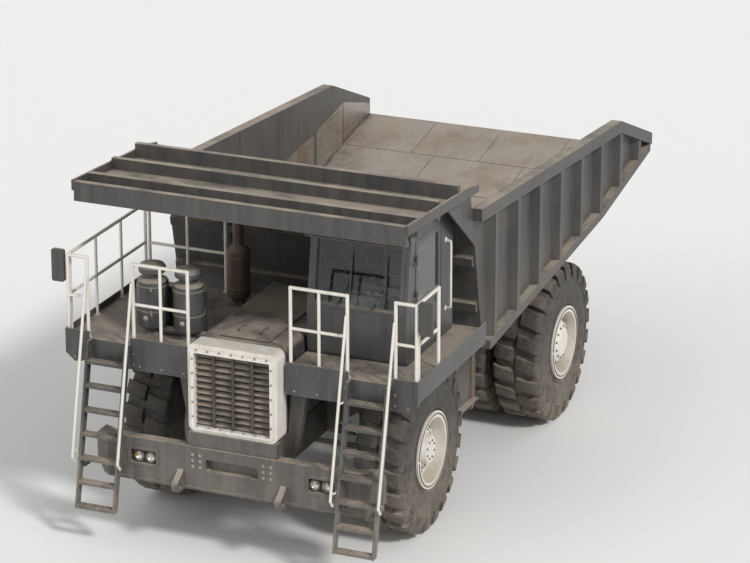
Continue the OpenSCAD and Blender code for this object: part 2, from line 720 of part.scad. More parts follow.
module air_cleaners() {
  // Canister, neck and rain hood: [radius, height above the deck]
  profile = [
    [0, 0], [130, 0], [110, 40], [110, 90], [180, 110], [195, 130], [195, 300], [203, 305], [203, 335], [195, 340],
    [195, 620], [203, 625], [203, 655], [195, 660], [190, 710], [140, 740], [110, 745], [110, 800],
    [165, 815], [172, 830], [172, 880], [150, 915], [90, 935], [0, 940]
  ];
  color(charcoal) {
    for (y = cleaner_y) translate([deck_x1 - 500, y, deck_z]) rotate_extrude($fn = 64) polygon(profile);
    // Duct from the canisters into the bonnet, and their cradle
    bar([deck_x1 - 500, cleaner_y[1], deck_z + 60], [deck_x1 - 500, -hood_y - weld_gap, deck_z + 60], 55, 48);
    block(deck_x1 - 720, deck_x1 - 690, cleaner_y[1] - 150, cleaner_y[0] + 150, deck_z, deck_z + 560);
    for (y = cleaner_y, z = [deck_z + 300, deck_z + 500])
      block(deck_x1 - 695, deck_x1 - 650, y - 60, y + 60, z, z + 40);
  }
}

module exhaust() {
  x = deck_x0 + 380;
  y = -hood_y - 260;
  // Silencer and outlet: [radius, height above the deck]
  profile = [
    [0, 80], [110, 80], [150, 120], [150, 200], [156, 205], [156, 235], [150, 240], [150, 620], [156, 625],
    [156, 655], [150, 660], [150, 730], [75, 800], [70, 820], [70, 1150], [58, 1150], [58, 830], [0, 830]
  ];
  color(dark_steel) {
    translate([x, y, deck_z]) rotate_extrude($fn = 64) polygon(profile);
    block(x - 110, x + 110, y - 110, y + 110, deck_z, deck_z + 12);
    for (a = [0:90:270]) translate([x, y, deck_z]) rotate([0, 0, a]) block(50, 90, -6, 6, 0, 100);
  }
}

module mirrors() {
  z1 = deck_z + handrail_h;
  color(dark_steel) both_sides() {
    for (z = [z1 - 300, z1 - 60])
      tube([[deck_x1 - 40, deck_y - 25 + handrail_d / 2, z], [deck_x1 - 40, mirror_y - 150, z]], 14);
    // Housing, with a shallow recess for the glass at its back
    difference() {
      pane_x(deck_x1 - 65, deck_x1 - 10, mirror_y - 170, mirror_y, z1 - 360, z1 + 60, 25);
      pane_x(deck_x1 - 66, deck_x1 - 57, mirror_y - 160, mirror_y - 10, z1 - 350, z1 + 50, 18);
    }
  }
}

module lamps() {
  x1 = rail_front + bumper_d;
  color(amber) both_sides() {
    // Two round headlamps and an indicator in each recess
    for (y = [lamp_y - 95, lamp_y + 65])
      translate([x1 - 70, y, lamp_z]) rotate([0, 90, 0]) rotate_extrude($fn = 48) polygon([
        [0, 0], [50, 0], [72, 25], [72, 50], [60, 60], [30, 66], [0, 68]
      ]);
    pane_x(x1 - 70, x1 - 15, lamp_y + 145, lamp_y + 165, lamp_z - 60, lamp_z + 60, 8);
    // Tail lamps on the ends of the rails
    for (z = [190, 290])
      translate([rail_end - weld_gap, rail_y, rail_z + rail_step + z]) rotate([0, -90, 0]) rotate_extrude($fn = 48)
        polygon([[0, 0], [40, 0], [40, 32], [30, 42], [0, 46]]);
  }
}

// Cab outline in X and Z, drawn in by t on every side
function cab_outline(t) = soften([
  [cab_x0 + t, deck_z + t], [cab_x1 - t, deck_z + t], [cab_x1 - t, sill_z],
  [cab_x1 - screen_lean - t, cab_top - t], [cab_x0 + t, cab_top - t]
], 55 - t / 2, 3);
module cab_shell() {
  roof_x1 = cab_x1 - screen_lean;
  color(charcoal) difference() {
    union() {
      xz(cab_outline(0), cab_y0, cab_y1);
      // Raised rim round the windscreen
      intersection() {
        xz([
          [cab_x1 - 40, sill_z], [cab_x1 + 14, sill_z], [roof_x1 + 14, cab_top], [roof_x1 - 40, cab_top]
        ], cab_y0 + 60, cab_y1 - 60);
        pane_x(cab_x0, cab_x1 + 20, cab_y0 + 60, cab_y1 - 60, sill_z + 10, cab_top - 110, 70);
      }
    }
    xz(cab_outline(cab_t), cab_y0 + cab_t, cab_y1 - cab_t);
    // Roof opening, closed by the roof panel
    block(cab_x0 - 1, cab_x1 + 1, cab_y0 - 1, cab_y1 + 1, cab_top - cab_t, cab_top + 1);
    // Windscreen, rear and right windows
    pane_x(roof_x1 - cab_t - 40, cab_x1 + 20, cab_y0 + 100, cab_y1 - 100, sill_z + 40, cab_top - 150, 45);
    pane_x(cab_x0 - 1, cab_x0 + cab_t + 1, cab_y0 + 180, cab_y1 - 180, sill_z + 60, cab_top - 200, 50);
    pane_y(cab_y0 - 1, cab_y0 + cab_t + 1, cab_x0 + 200, roof_x1 - 160, sill_z + 60, cab_top - 200, 50);
    // Doorway
    pane_y(cab_y1 - cab_t - 1, cab_y1 + 1, door_x0 - door_gap, door_x1 + door_gap, door_bottom - door_gap,
      door_top + door_gap, 50 + door_gap);
    // Side walls and floor pan are panels of their own, joined to the front and rear by their welds
    for (y = [cab_y0 + cab_t, cab_y1 - cab_t])
      block(cab_x0 - 1, cab_x1 + 21, y - weld_gap / 2, y + weld_gap / 2, deck_z - 1, cab_top + 1);
    block(cab_x0 - 1, cab_x1 + 21, cab_y0 + cab_t, cab_y1 - cab_t, deck_z + cab_t - weld_gap / 2,
      deck_z + cab_t + weld_gap / 2);
  }
  // Pins of the door's hinges
  color(charcoal) for (z = hinge_z) {
    block(hinge_x, hinge_x + 70, cab_y1, cab_y1 + 12, z - 40, z);
    translate([hinge_x, hinge_y, z - 40]) cylinder(h = 40, r = 16, $fn = 32);
    translate([hinge_x, hinge_y, z - 1]) cylinder(h = 85, r = hinge_r, $fn = 32);
  }
}
module cab_roof() {
  roof_x1 = cab_x1 - screen_lean;
  color(charcoal) {
    xz(soften([
      [cab_x0 - 30, cab_top - cab_t], [roof_x1 + 90, cab_top - cab_t], [roof_x1 + 60, cab_top + 30],
      [cab_x0, cab_top + 60], [cab_x0 - 30, cab_top + 20]
    ], 14, 2), cab_y0 - 20, cab_y1 + 20);
    // Sun visor with a cheek at each end
    xz([
      [roof_x1 + 70, cab_top - 5], [roof_x1 + 250, cab_top - 75], [roof_x1 + 246, cab_top - 90],
      [roof_x1 + 60, cab_top - 20]
    ], cab_y0 + 10, cab_y1 - 10);
    for (y = [cab_y0 + 10, cab_y1 - 25])
      xz([[roof_x1 + 60, cab_top - 10], [roof_x1 + 246, cab_top - 80], [roof_x1 + 80, cab_top - 110],
        [roof_x1 + 50, cab_top - 45]], y, y + 15);
  }
}
module cab_glass() {
  roof_x1 = cab_x1 - screen_lean;
  color(glass) {
    // Windscreen, which leans with the front wall
    intersection() {
      xz([
        [cab_x1 - 30, sill_z], [cab_x1 - 30 + glass_t, sill_z], [roof_x1 - 30 + glass_t, cab_top],
        [roof_x1 - 30, cab_top]
      ], cab_y0 + 100, cab_y1 - 100);
      pane_x(cab_x0, cab_x1 + 60, cab_y0 + 100, cab_y1 - 100, sill_z + 40, cab_top - 150, 45);
    }
    pane_x(cab_x0 + 20, cab_x0 + 20 + glass_t, cab_y0 + 180, cab_y1 - 180, sill_z + 60, cab_top - 200, 50);
    pane_y(cab_y0 + 20, cab_y0 + 20 + glass_t, cab_x0 + 200, roof_x1 - 160, sill_z + 60, cab_top - 200, 50);
  }
}
module cab_interior() {
  x1 = cab_x1 - cab_t;
  floor = deck_z + cab_t;
  wheel = [x1 - 395, seat_y, floor + 696];
  color(dark_steel) {
    // Dashboard with its cowl
    xz(soften([
      [x1 - 300, floor + 600], [x1, floor + 600], [x1, floor + 20], [x1 - 120, floor + 20], [x1 - 180, floor + 400],
      [x1 - 330, floor + 520]
    ], 18, 2), cab_y0 + cab_t + 20, cab_y1 - cab_t - 20);
    xz(soften([
      [x1 - 250, floor + 590], [x1 - 60, floor + 590], [x1 - 90, floor + 660], [x1 - 230, floor + 690]
    ], 15, 2), seat_y - 240, seat_y + 240);
    // Column, steering wheel and its spokes
    bar([x1 - 260, seat_y, floor + 540], [x1 - 390, seat_y, floor + 690], 32);
    translate(wheel) rotate([0, -41, 0]) {
      rotate_extrude($fn = 48) translate([190, 0]) circle(r = 17, $fn = 24);
      for (a = [90, 210, 330]) rotate([0, 0, a]) block(0, 186, -14, 14, -8, 8);
      cylinder(h = 24, r = 45, $fn = 32);
    }
    // Consoles on both sides of the seat, the left one short of the door
    for (side = [[seat_y + 300, seat_y + 400, 380], [seat_y - 470, seat_y - 300, 700]])
      xz(soften([
        [seat_x - 200, floor], [seat_x + side[2] - 200, floor], [seat_x + side[2] - 200, floor + 430],
        [seat_x - 200, floor + 500]
      ], 25, 2), side[0], side[1]);
  }
}
// Seat: base, cushion, back and headrest
module cab_seat() {
  floor = deck_z + cab_t;
  color(dark_steel) {
    block(seat_x - 180, seat_x + 200, seat_y - 190, seat_y + 190, floor, floor + 60);
    block(seat_x - 140, seat_x + 160, seat_y - 160, seat_y + 160, floor + 59, floor + 331);
    xz(soften([
      [seat_x - 210, floor + 330], [seat_x + 270, floor + 330], [seat_x + 280, floor + 440],
      [seat_x - 150, floor + 425], [seat_x - 215, floor + 940], [seat_x - 300, floor + 940]
    ], 30, 3), seat_y - 250, seat_y + 250);
    xz(soften([
      [seat_x - 300, floor + 930], [seat_x - 220, floor + 930], [seat_x - 235, floor + 1110],
      [seat_x - 310, floor + 1110]
    ], 25, 3), seat_y - 140, seat_y + 140);
  }
}
module cab_door() {
  color(charcoal) difference() {
    union() {
      pane_y(cab_y1 - cab_t + 2, cab_y1, door_x0, door_x1, door_bottom, door_top, 50);
      // Pressed panel below the window
      pane_y(cab_y1 - 1, cab_y1 + 9, door_x0 + 90, door_x1 - 110, door_bottom + 90, sill_z - 60, 40);
    }
    pane_y(cab_y1 - cab_t, cab_y1 + 1, door_x0 + 80, door_x1 - 80, sill_z + 60, door_top - 90, 45);
  }
  // Knuckles of the hinges
  color(charcoal) for (z = hinge_z) difference() {
    union() {
      block(door_x1 - 90, hinge_x, cab_y1 - 1, cab_y1 + 12, z + 0.5, z + 80);
      translate([hinge_x, hinge_y, z + 0.5]) cylinder(h = 79.5, r = 16, $fn = 32);
    }
    translate([hinge_x, hinge_y, z - 1]) cylinder(h = 90, r = hinge_r + run_gap, $fn = 32);
  }
}
module door_glass() {
  color(glass) pane_y(cab_y1 - 32, cab_y1 - 32 + glass_t, door_x0 + 80, door_x1 - 80, sill_z + 60, door_top - 90, 45);
}

module steer_barrels() {
  color(dark_steel) both_sides() difference() {
    y_bar(arm_x, ram_z, 58, ram_base_y - 62, ram_end_y);
    y_bar(arm_x, ram_z, ram_r + run_gap, ram_base_y + 50, ram_end_y + 1);
  }
}
module steer_rod(s) {
  color(chrome) on_side(s) {
    y_bar(arm_x, ram_z, ram_r, ram_foot_y, kingpin_y - 50);
    translate([arm_x, kingpin_y, ram_z - 50]) cylinder(h = 100, r = 62, $fn = 40);
  }
}
module tie_rod() {
  color(dark_steel) difference() {
    union() {
      y_bar(arm_x, tie_z, 34, -kingpin_y, kingpin_y);
      for (s = [1, -1]) translate([arm_x, s * kingpin_y, tie_z - 45]) cylinder(h = 90, r = 62, $fn = 40);
    }
    for (s = [1, -1]) translate([arm_x, s * kingpin_y, tie_z - 60])
      cylinder(h = 120, r = tie_pin_r + run_gap, $fn = 40);
  }
}
module knuckle(s) {
  color(dark_steel) on_side(s) {
    translate([front_x, kingpin_y, hub_z - 240]) cylinder(h = 600, r = 145, $fn = 48);
    y_bar(front_x, hub_z, spindle_r, kingpin_y, front_track / 2 + 100);
    block(arm_x, front_x, kingpin_y - 75, kingpin_y + 75, arm_z, arm_z + arm_t);
    translate([arm_x, kingpin_y, arm_z - 26]) cylinder(h = arm_t + 28, r = 75, $fn = 40);
    // Pin through the end of the tie rod
    translate([arm_x, kingpin_y, tie_z - 60]) cylinder(h = arm_z - tie_z + 60, r = tie_pin_r, $fn = 40);
  }
  color(chrome) on_side(s)
    translate([front_x, kingpin_y, hub_z + 300]) cylinder(h = strut_bottom + 360 - hub_z - 300, r = strut_rod_r, $fn = 48);
}

// One tyre about its own centre, its axle along Z
module tyre() {
  base_r = wheel_r - lug_depth;
  half = tyre_w / 2;
  tread = half - 25;
  color(rubber) {
    // Carcass: outside from bead to bead, then the cavity back. [radius, place across the tyre]
    rotate_extrude($fn = 96) polygon([
      [rim_r + bead_gap, -half + 95], [rim_r + bead_gap, -half + 30], [rim_r + 62, -half + 30],
      [rim_r + 110, -half + 10], [rim_r + 250, -half], [base_r - 170, -half], [base_r - 60, -half + 12],
      [base_r, -tread], [base_r, tread], [base_r - 60, half - 12], [base_r - 170, half],
      [rim_r + 250, half], [rim_r + 110, half - 10], [rim_r + 62, half - 30], [rim_r + bead_gap, half - 30],
      [rim_r + bead_gap, half - 95], [rim_r + 60, half - 105], [rim_r + 120, half - carcass_t - 10],
      [base_r - 180, half - carcass_t], [base_r - carcass_t - 20, tread - carcass_t],
      [base_r - carcass_t - 20, -tread + carcass_t], [base_r - 180, -half + carcass_t],
      [rim_r + 120, -half + carcass_t + 10], [rim_r + 60, -half + 105]
    ]);
    lug_row(base_r, tread, 0);
    mirror([0, 0, 1]) lug_row(base_r, tread, lug_pitch / 2);
  }
}
// A row of lugs, one of them at angle `turn` from the lowest point
module lug_row(base_r, tread, turn) {
  tip_r = wheel_r / cos(lug_half);
  root_r = base_r - lug_sunk;
  // Corners of a lug: [angle from its middle, radius]
  corners = [[-lug_root, root_r], [-lug_half, tip_r], [lug_half, tip_r], [lug_root, root_r]];
  translate([0, 0, 14]) rotate([0, 0, turn - 90]) linear_extrude(tread + 8 - 14) difference() {
    polygon([for (i = [0:lug_count - 1], c = corners)
      [c[1] * cos(i * lug_pitch + c[0]), c[1] * sin(i * lug_pitch + c[0])]]);
    circle(r = root_r - 10, $fn = 96);
  }
}
module wheel_at(x, y) {
  translate([x, y, hub_z]) rotate([90, 0, 0]) children();
}
module front_tyre(s) {
  on_side(s) wheel_at(front_x, front_track / 2) tyre();
}
module rear_tyres(s) {
  on_side(s) for (d = [-1, 1]) wheel_at(rear_x, rear_track / 2 + d * twin_spacing / 2) tyre();
}
// Rim barrel with its flanges: [radius, place across the rim]
function rim_barrel(c) = [
  [rim_r - 24, c - tyre_w / 2 - 8], [rim_r + 58, c - tyre_w / 2 - 8], [rim_r + 58, c - tyre_w / 2 + 20],
  [rim_r, c - tyre_w / 2 + 29], [rim_r, c + tyre_w / 2 - 29], [rim_r + 58, c + tyre_w / 2 - 20],
  [rim_r + 58, c + tyre_w / 2 + 8], [rim_r - 24, c + tyre_w / 2 + 8]
];
module front_rim(s) {
  color(off_white) on_side(s) translate([front_x, front_track / 2, hub_z]) rotate([-90, 0, 0]) rotate_extrude($fn = 96) {
    polygon(rim_barrel(0));
    // Disc and hub: [radius, place outboard of the tyre's centre]
    polygon([
      [spindle_r + run_gap, -210], [215, -210], [215, 60], [rim_r - 20, 110], [rim_r - 20, 150], [290, 130],
      [290, 190], [200, 215], [170, 300], [0, 300], [0, 110], [spindle_r + run_gap, 110]
    ]);
  }
}
module rear_rims(s) {
  o = twin_spacing / 2;
  color(off_white) on_side(s) translate([rear_x, rear_track / 2, hub_z]) rotate([-90, 0, 0]) rotate_extrude($fn = 96) {
    polygon(rim_barrel(-o));
    polygon(rim_barrel(o));
    // Spacer between the rims, and the hub with its final-drive cover
    polygon([[rim_r - 24, -o + tyre_w / 2], [rim_r - 4, -o + tyre_w / 2], [rim_r - 4, o - tyre_w / 2], [rim_r - 24, o - tyre_w / 2]]);
    polygon([
      [axle_r + run_gap, -640], [330, -640], [330, -90], [rim_r - 20, -60], [rim_r - 20, 60], [330, 90],
      [330, 560], [270, 640], [170, 690], [0, 690], [0, -140], [axle_r + run_gap, -140]
    ]);
  }
}

module bed_plate(points) {
  xz(points, -bed_in, bed_in);
}
module bed_floor() {
  color(charcoal) {
    bed_plate([
      [bed_x, floor_top(bed_x)], [break_x, floor_top(break_x)],
      [break_x, floor_top(break_x) - floor_t], [bed_x, floor_top(bed_x) - floor_t]
    ]);
    bed_plate([
      [break_x, floor_top(break_x)], [tail_x, floor_top(tail_x)],
      [tail_x, floor_top(tail_x) - floor_t], [break_x, floor_top(break_x) - floor_t]
    ]);
  }
}
module bed_headboard() {
  color(charcoal) {
    bed_plate([
      [bed_x, floor_z - floor_t], [bed_x, floor_z], [head_x, head_z], [head_x + side_t, head_z],
      [bed_x + side_t, floor_z - floor_t]
    ]);
    // Ribs across the front of the headboard, and lower upright ones
    for (z = head_rib_z) {
      top = z + head_rib_h;
      xz([
        [head_face(z) - 5, z], [head_face(top) - 5, top], [head_face(top - 20) + head_rib_d, top - 20],
        [head_face(z + 20) + head_rib_d, z + 20]
      ], -bed_in, bed_in);
    }
    for (y = head_rib_y)
      xz([
        [head_face(floor_z + 60) - 5, floor_z + 60], [head_face(head_z - 30) - 5, head_z - 30],
        [head_face(head_z - 60) + head_rib_d - 10, head_z - 60],
        [head_face(floor_z + 90) + head_rib_d - 10, floor_z + 90]
      ], y - 50, y + 50);
  }
}
// Side: plate, top rail, bottom rail and upright ribs
module bed_side(s) {
  color(charcoal) on_side(s) {
    xz([
      [bed_x + side_t, floor_z - floor_t], [head_face(side_z), side_z],
      [side_break_x, side_top(side_break_x)], [tail_x, side_top(tail_x)],
      [tail_x, floor_top(tail_x) - floor_t], [break_x, floor_top(break_x) - floor_t],
      [bed_x, floor_z - floor_t]
    ], bed_in, bed_out);
    for (seg = [[head_at(side_z - 60), side_break_x], [side_break_x, tail_x]])
      xz([
        [seg[0], side_top(seg[0])], [seg[1], side_top(seg[1])],
        [seg[1], side_top(seg[1]) - top_rail_h], [seg[0], side_top(seg[0]) - top_rail_h]
      ], bed_out, bed_out + rib_d + 20);
    for (seg = [[bed_x + 20, break_x], [break_x, tail_x]])
      xz([
        [seg[0], floor_top(seg[0]) + 90], [seg[1], floor_top(seg[1]) + 90],
        [seg[1], floor_top(seg[1]) - floor_t], [seg[0], floor_top(seg[0]) - floor_t]
      ], bed_out, bed_out + rib_d);
    // Upright ribs, pressed narrower on their outer face
    for (i = [0:rib_count - 1]) {
      x = rib_front - i * rib_step;
      intersection() {
        xz([
          [x - rib_w, floor_top(x - rib_w)], [x + rib_w, floor_top(x + rib_w)],
          [x + rib_w, side_top(x + rib_w) - top_rail_h / 2], [x - rib_w, side_top(x - rib_w) - top_rail_h / 2]
        ], bed_out - 1, bed_out + rib_d + 1);
        translate([x, 0, floor_z - floor_t]) linear_extrude(side_z - floor_z + floor_t) polygon([
          [-rib_w / 2, bed_out], [rib_w / 2, bed_out], [rib_face / 2, bed_out + rib_d],
          [-rib_face / 2, bed_out + rib_d]
        ]);
      }
    }
  }
}
module bed_beams() {
  color(charcoal) both_sides() {
    difference() {
      union() {
        xz([
          [bed_x, floor_under(bed_x)], [bed_x, rail_top(bed_x) + 200], [bed_x - 250, rail_top(bed_x) + beam_gap],
          [step_front, rail_top(step_front) + beam_gap], [step_rear, rail_top(step_rear) + beam_gap],
          [pivot_x + 260, rail_top(step_rear) + beam_gap], [pivot_x - ear_r - 60, pivot_z + ear_r + 120],
          [break_x - 900, floor_under(break_x - 900)], [break_x, floor_under(break_x)]
        ], rail_in, rail_out);
        for (y = [rail_in - pivot_gap - ear_t, rail_out + pivot_gap])
          xz(bed_ear(), y, y + ear_t);
        for (y = [rail_in - pivot_gap - ear_t, rail_out])
          xz([
            [pivot_x - ear_reach, pivot_z + ear_rise], [pivot_x + ear_reach, pivot_z + ear_rise],
            [pivot_x + ear_reach, floor_under(pivot_x + ear_reach)], [break_x, floor_under(break_x)],
            [pivot_x - ear_reach, floor_under(pivot_x - ear_reach)]
          ], y, y + pivot_gap + ear_t);
      }
      // Room for the frame's ear, and the pin's bore
      y_bar(pivot_x, pivot_z, ear_r + 15, rail_in, rail_out);
      y_bar(pivot_x, pivot_z, pivot_r + run_gap, rail_in - 100, rail_out + 100);
      block(pivot_x - 400, pivot_x + 100, rail_in, rail_out, pivot_z - 200, pivot_z);
    }
    // Ears of the hoist's top pin
    for (y = [hoist_y - hoist_ear_y - 40, hoist_y + hoist_ear_y])
      xz([
        [hoist_x1 - 200, floor_under(hoist_x1 - 200)], [hoist_x1 - 90, hoist_z1 - 30],
        [hoist_x1 - 45, hoist_z1 - 85], [hoist_x1 + 45, hoist_z1 - 85], [hoist_x1 + 90, hoist_z1 - 30],
        [hoist_x1 + 200, floor_under(hoist_x1 + 200)]
      ], y, y + 40);
  }
}
function bed_ear() = [
  for (a = [180:20:360]) [pivot_x + ear_r * cos(a), pivot_z + ear_r * sin(a)],
  [pivot_x + ear_reach, pivot_z + ear_rise + 10], [pivot_x - ear_reach, pivot_z + ear_rise + 10]
];
// Cross ribs under the floor: outboard and between the beams
module bed_bolsters() {
  color(charcoal) {
    for (x = [bed_x - 300, hoist_x1 + 500, hoist_x1 - 450, rear_x + 620, rear_x, rear_x - 620]) {
      both_sides() xz(bolster(x), rail_out, bed_in);
      xz(bolster(x), -rail_in, rail_in);
    }
    for (x = [rear_x - 2350, rear_x - 2900]) xz(bolster(x), -bed_in, bed_in);
  }
}
function bolster(x) = [
  [x - 75, floor_under(x - 75)], [x + 75, floor_under(x + 75)],
  [x + 50, bolster_z(x + 50)], [x - 50, bolster_z(x - 50)]
];
function bolster_z(x) = floor_top(x) - floor_t - 110;
module canopy() {
  z1 = head_z + 170;
  color(charcoal) {
    // Plate, side flanges and cross ribs
    xz([[head_x, head_z], [head_x, head_z + 25], [canopy_x, z1], [canopy_x, z1 - 25], [head_x + side_t, head_z]],
      -bed_out - rib_d, bed_out + rib_d);
    both_sides() xz([
      [head_x, head_z], [canopy_x, z1], [canopy_x, z1 + 110], [head_x + 300, head_z + 150], [head_x, head_z + 90]
    ], bed_out + rib_d - 30, bed_out + rib_d);
    for (x = [head_x + 600, head_x + 1250, head_x + 1900, canopy_x - 40])
      block(x - 40, x + 40, -bed_out - rib_d + 30, bed_out + rib_d - 30, head_z + 10, z1 + 90);
    // Gussets against the headboard
    both_sides() for (g = gussets)
      xz([
        [head_face(floor_z + g[1]) + weld_gap, floor_z + g[1]], [head_face(head_z + 5) + weld_gap, head_z + 5],
        [head_x + g[2], canopy_under(head_x + g[2]) + 10], [head_x + g[2], canopy_under(head_x + g[2]) - 40]
      ], g[0], g[0] + side_t);
  }
}
// Bars that hang between the twin tyres and throw out stones
module rock_ejectors() {
  color(dark_steel) both_sides() {
    y = rear_track / 2;
    xz([
      [rear_x - 50, bolster_z(rear_x - 50)], [rear_x + 50, bolster_z(rear_x + 50)],
      [rear_x + 60, hub_z + 560], [rear_x - 60, hub_z + 560]
    ], y - 25, y + 25);
  }
}

// Hoist pieces stand on the Z axis, base pin at the origin, then lean to the hoist's line
module hoist_at(s) {
  on_side(s) translate([hoist_x0, hoist_y, hoist_z0]) rotate([0, hoist_tilt, 0]) children();
}
module hoist_barrel(s) {
  color(charcoal) hoist_at(s) difference() {
    union() {
      rotate([90, 0, 0]) translate([0, 0, -hoist_eye_half]) cylinder(h = 2 * hoist_eye_half, r = 92, $fn = 48);
      translate([0, 0, hoist_foot - 60]) cylinder(h = 61, r = hoist_eye_half - 3, $fn = 48);
      translate([0, 0, hoist_foot]) cylinder(h = hoist_l - hoist_foot - 180, r = hoist_r, $fn = 64);
      // Head of the barrel
      translate([0, 0, hoist_l - 250]) cylinder(h = 70, r = hoist_r + 10, $fn = 64);
    }
    rotate([90, 0, 0]) translate([0, 0, -70]) cylinder(h = 140, r = hoist_pin_r + run_gap, $fn = 48);
    translate([0, 0, hoist_foot + 18]) cylinder(h = hoist_l, r = stage_r + run_gap, $fn = 64);
  }
}
// A tube from z0 to the hoist's length less z1, with a gland ring at its head, bored to take the next one
module hoist_tube(z0, z1, r, bore) {
  difference() {
    union() {
      translate([0, 0, z0]) cylinder(h = hoist_l - z0 - z1, r = r, $fn = 64);
      translate([0, 0, hoist_l - z1 - gland_h]) cylinder(h = gland_h, r = r + gland_d, $fn = 64);
    }
    translate([0, 0, z0 + 20]) cylinder(h = hoist_l, r = bore + run_gap, $fn = 64);
  }
}
module hoist_stage(s) {
  color(chrome) hoist_at(s) hoist_tube(hoist_foot + 22, 165, stage_r, inner_r);
}
module hoist_inner(s) {
  color(chrome) hoist_at(s) hoist_tube(hoist_foot + 46, 150, inner_r, rod_r);
}
module hoist_rod(s) {
  color(chrome) hoist_at(s) {
    translate([0, 0, hoist_foot + 70]) cylinder(h = hoist_l - hoist_foot - 130, r = rod_r, $fn = 64);
    translate([0, 0, hoist_l]) rotate([90, 0, 0]) translate([0, 0, -50]) cylinder(h = 100, r = 80, $fn = 48);
  }
}

frame_rails();
crossmembers();
strut_mounts();
bumper();
rear_axle();
rear_struts();
engine_block();
drivetrain();
radiator();
grille();
hood();
deck();
deck_supports();
ladders();
handrails();
fuel_tank();
hydraulic_tank();
air_cleaners();
exhaust();
mirrors();
lamps();
cab_shell();
cab_roof();
cab_glass();
cab_interior();
cab_seat();
steer_barrels();
bed_floor();
bed_headboard();
bed_side(1);  // bed_side_left
bed_side(-1);  // bed_side_right
bed_beams();
bed_bolsters();
canopy();
rock_ejectors();
cab_door();
door_glass();
knuckle(1);  // knuckle_left
knuckle(-1);  // knuckle_right
tie_rod();
steer_rod(1);  // steer_rod_left
steer_rod(-1);  // steer_rod_right
front_tyre(1);  // tyre_front_left
front_tyre(-1);  // tyre_front_right
rear_tyres(1);  // tyres_rear_left
rear_tyres(-1);  // tyres_rear_right
front_rim(1);  // rim_front_left
front_rim(-1);  // rim_front_right
rear_rims(1);  // rims_rear_left
rear_rims(-1);  // rims_rear_right
hoist_barrel(1);  // hoist_barrel_left
hoist_barrel(-1);  // hoist_barrel_right
hoist_stage(1);  // hoist_stage_left
hoist_stage(-1);  // hoist_stage_right
hoist_inner(1);  // hoist_inner_left
hoist_inner(-1);  // hoist_inner_right
hoist_rod(1);  // hoist_rod_left
hoist_rod(-1);  // hoist_rod_right
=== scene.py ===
# %% [markdown]
# # Dressing a mining dump truck
# The solid model holds every plate, tube and wheel of the truck at its real size. This lesson adds
# what Blender is good at: weathered finishes, rounded tyre lugs, bolts, pipes, seals and cushions.
# The imported model comes in first.

import math

import bmesh
import bpy
from mathutils import Matrix, Vector


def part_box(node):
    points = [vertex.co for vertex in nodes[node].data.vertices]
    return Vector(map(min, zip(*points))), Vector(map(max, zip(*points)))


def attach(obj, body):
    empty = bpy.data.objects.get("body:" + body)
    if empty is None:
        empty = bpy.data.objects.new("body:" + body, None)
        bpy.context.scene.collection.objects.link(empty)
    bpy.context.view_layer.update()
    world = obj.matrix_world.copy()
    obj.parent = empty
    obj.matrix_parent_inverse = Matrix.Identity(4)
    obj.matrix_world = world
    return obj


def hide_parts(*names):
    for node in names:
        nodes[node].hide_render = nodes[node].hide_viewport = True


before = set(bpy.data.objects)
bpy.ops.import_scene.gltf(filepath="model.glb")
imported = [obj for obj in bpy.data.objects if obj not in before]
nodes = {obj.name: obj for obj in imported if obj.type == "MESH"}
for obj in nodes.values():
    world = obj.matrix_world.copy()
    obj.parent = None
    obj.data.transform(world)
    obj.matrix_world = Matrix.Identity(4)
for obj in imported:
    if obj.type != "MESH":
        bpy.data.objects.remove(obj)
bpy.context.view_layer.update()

# %% [markdown]
# ## Camera
# The photograph was taken from far off and a little above, so a long lens stands well back and looks
# down by about twenty degrees at the truck's front, turned slightly towards its left side. The camera
# is placed by two angles, azimuth and elevation, which the lamps use too.

# %% Place the camera
VIEW_DISTANCE = 46.0
LOOK_AT = Vector((-0.15, -0.05, 2.12))


def place_object(name, data):
    """Makes an object of the data and puts it into the scene."""
    made = bpy.data.objects.new(name, data)
    bpy.context.scene.collection.objects.link(made)
    return made


def toward(azimuth, elevation):
    """The direction from the truck to what stands at these angles, in degrees."""
    a, e = math.radians(azimuth), math.radians(elevation)
    return Vector((math.sin(a) * math.cos(e), -math.cos(a) * math.cos(e), math.sin(e)))


camera_data = bpy.data.cameras.new("camera")
camera_data.lens = 165
camera_data.clip_end = 400
camera = place_object("camera", camera_data)
view = toward(azimuth=113, elevation=20)
camera.location = LOOK_AT + view * VIEW_DISTANCE
camera.rotation_euler = (-view).to_track_quat("-Z", "Y").to_euler()
bpy.context.scene.camera = camera
bpy.context.scene.view_settings.view_transform = "Standard"
print("camera at", [round(v, 2) for v in camera.location])

# %% [markdown]
# ## Light and floor
# The sun in the photograph stands to the right. One soft sun lamp comes from there, and an even world
# light fills the shade. Their sum is about one, so a colour renders about as it is written. The floor
# is a plain pale disc that keeps the truck's shadow.

# %% Light the stage
def sun_lamp(name, azimuth, elevation, strength, softness):
    data = bpy.data.lights.new(name, "SUN")
    data.energy = strength
    data.angle = math.radians(softness)
    place_object(name, data).rotation_euler = toward(azimuth, elevation).to_track_quat("Z", "Y").to_euler()


sun_lamp("key", azimuth=152, elevation=42, strength=1.9, softness=9)
sun_lamp("fill", azimuth=62, elevation=30, strength=0.45, softness=40)
world = bpy.data.worlds.new("studio")
bpy.context.scene.world = world
world.use_nodes = True
sky = world.node_tree
sky.nodes["Background"].inputs["Color"].default_value = (0.96, 0.98, 1.0, 1)
sky.nodes["Background"].inputs["Strength"].default_value = 0.62

# %% Lay the floor
FLOOR_RADIUS = 150.0


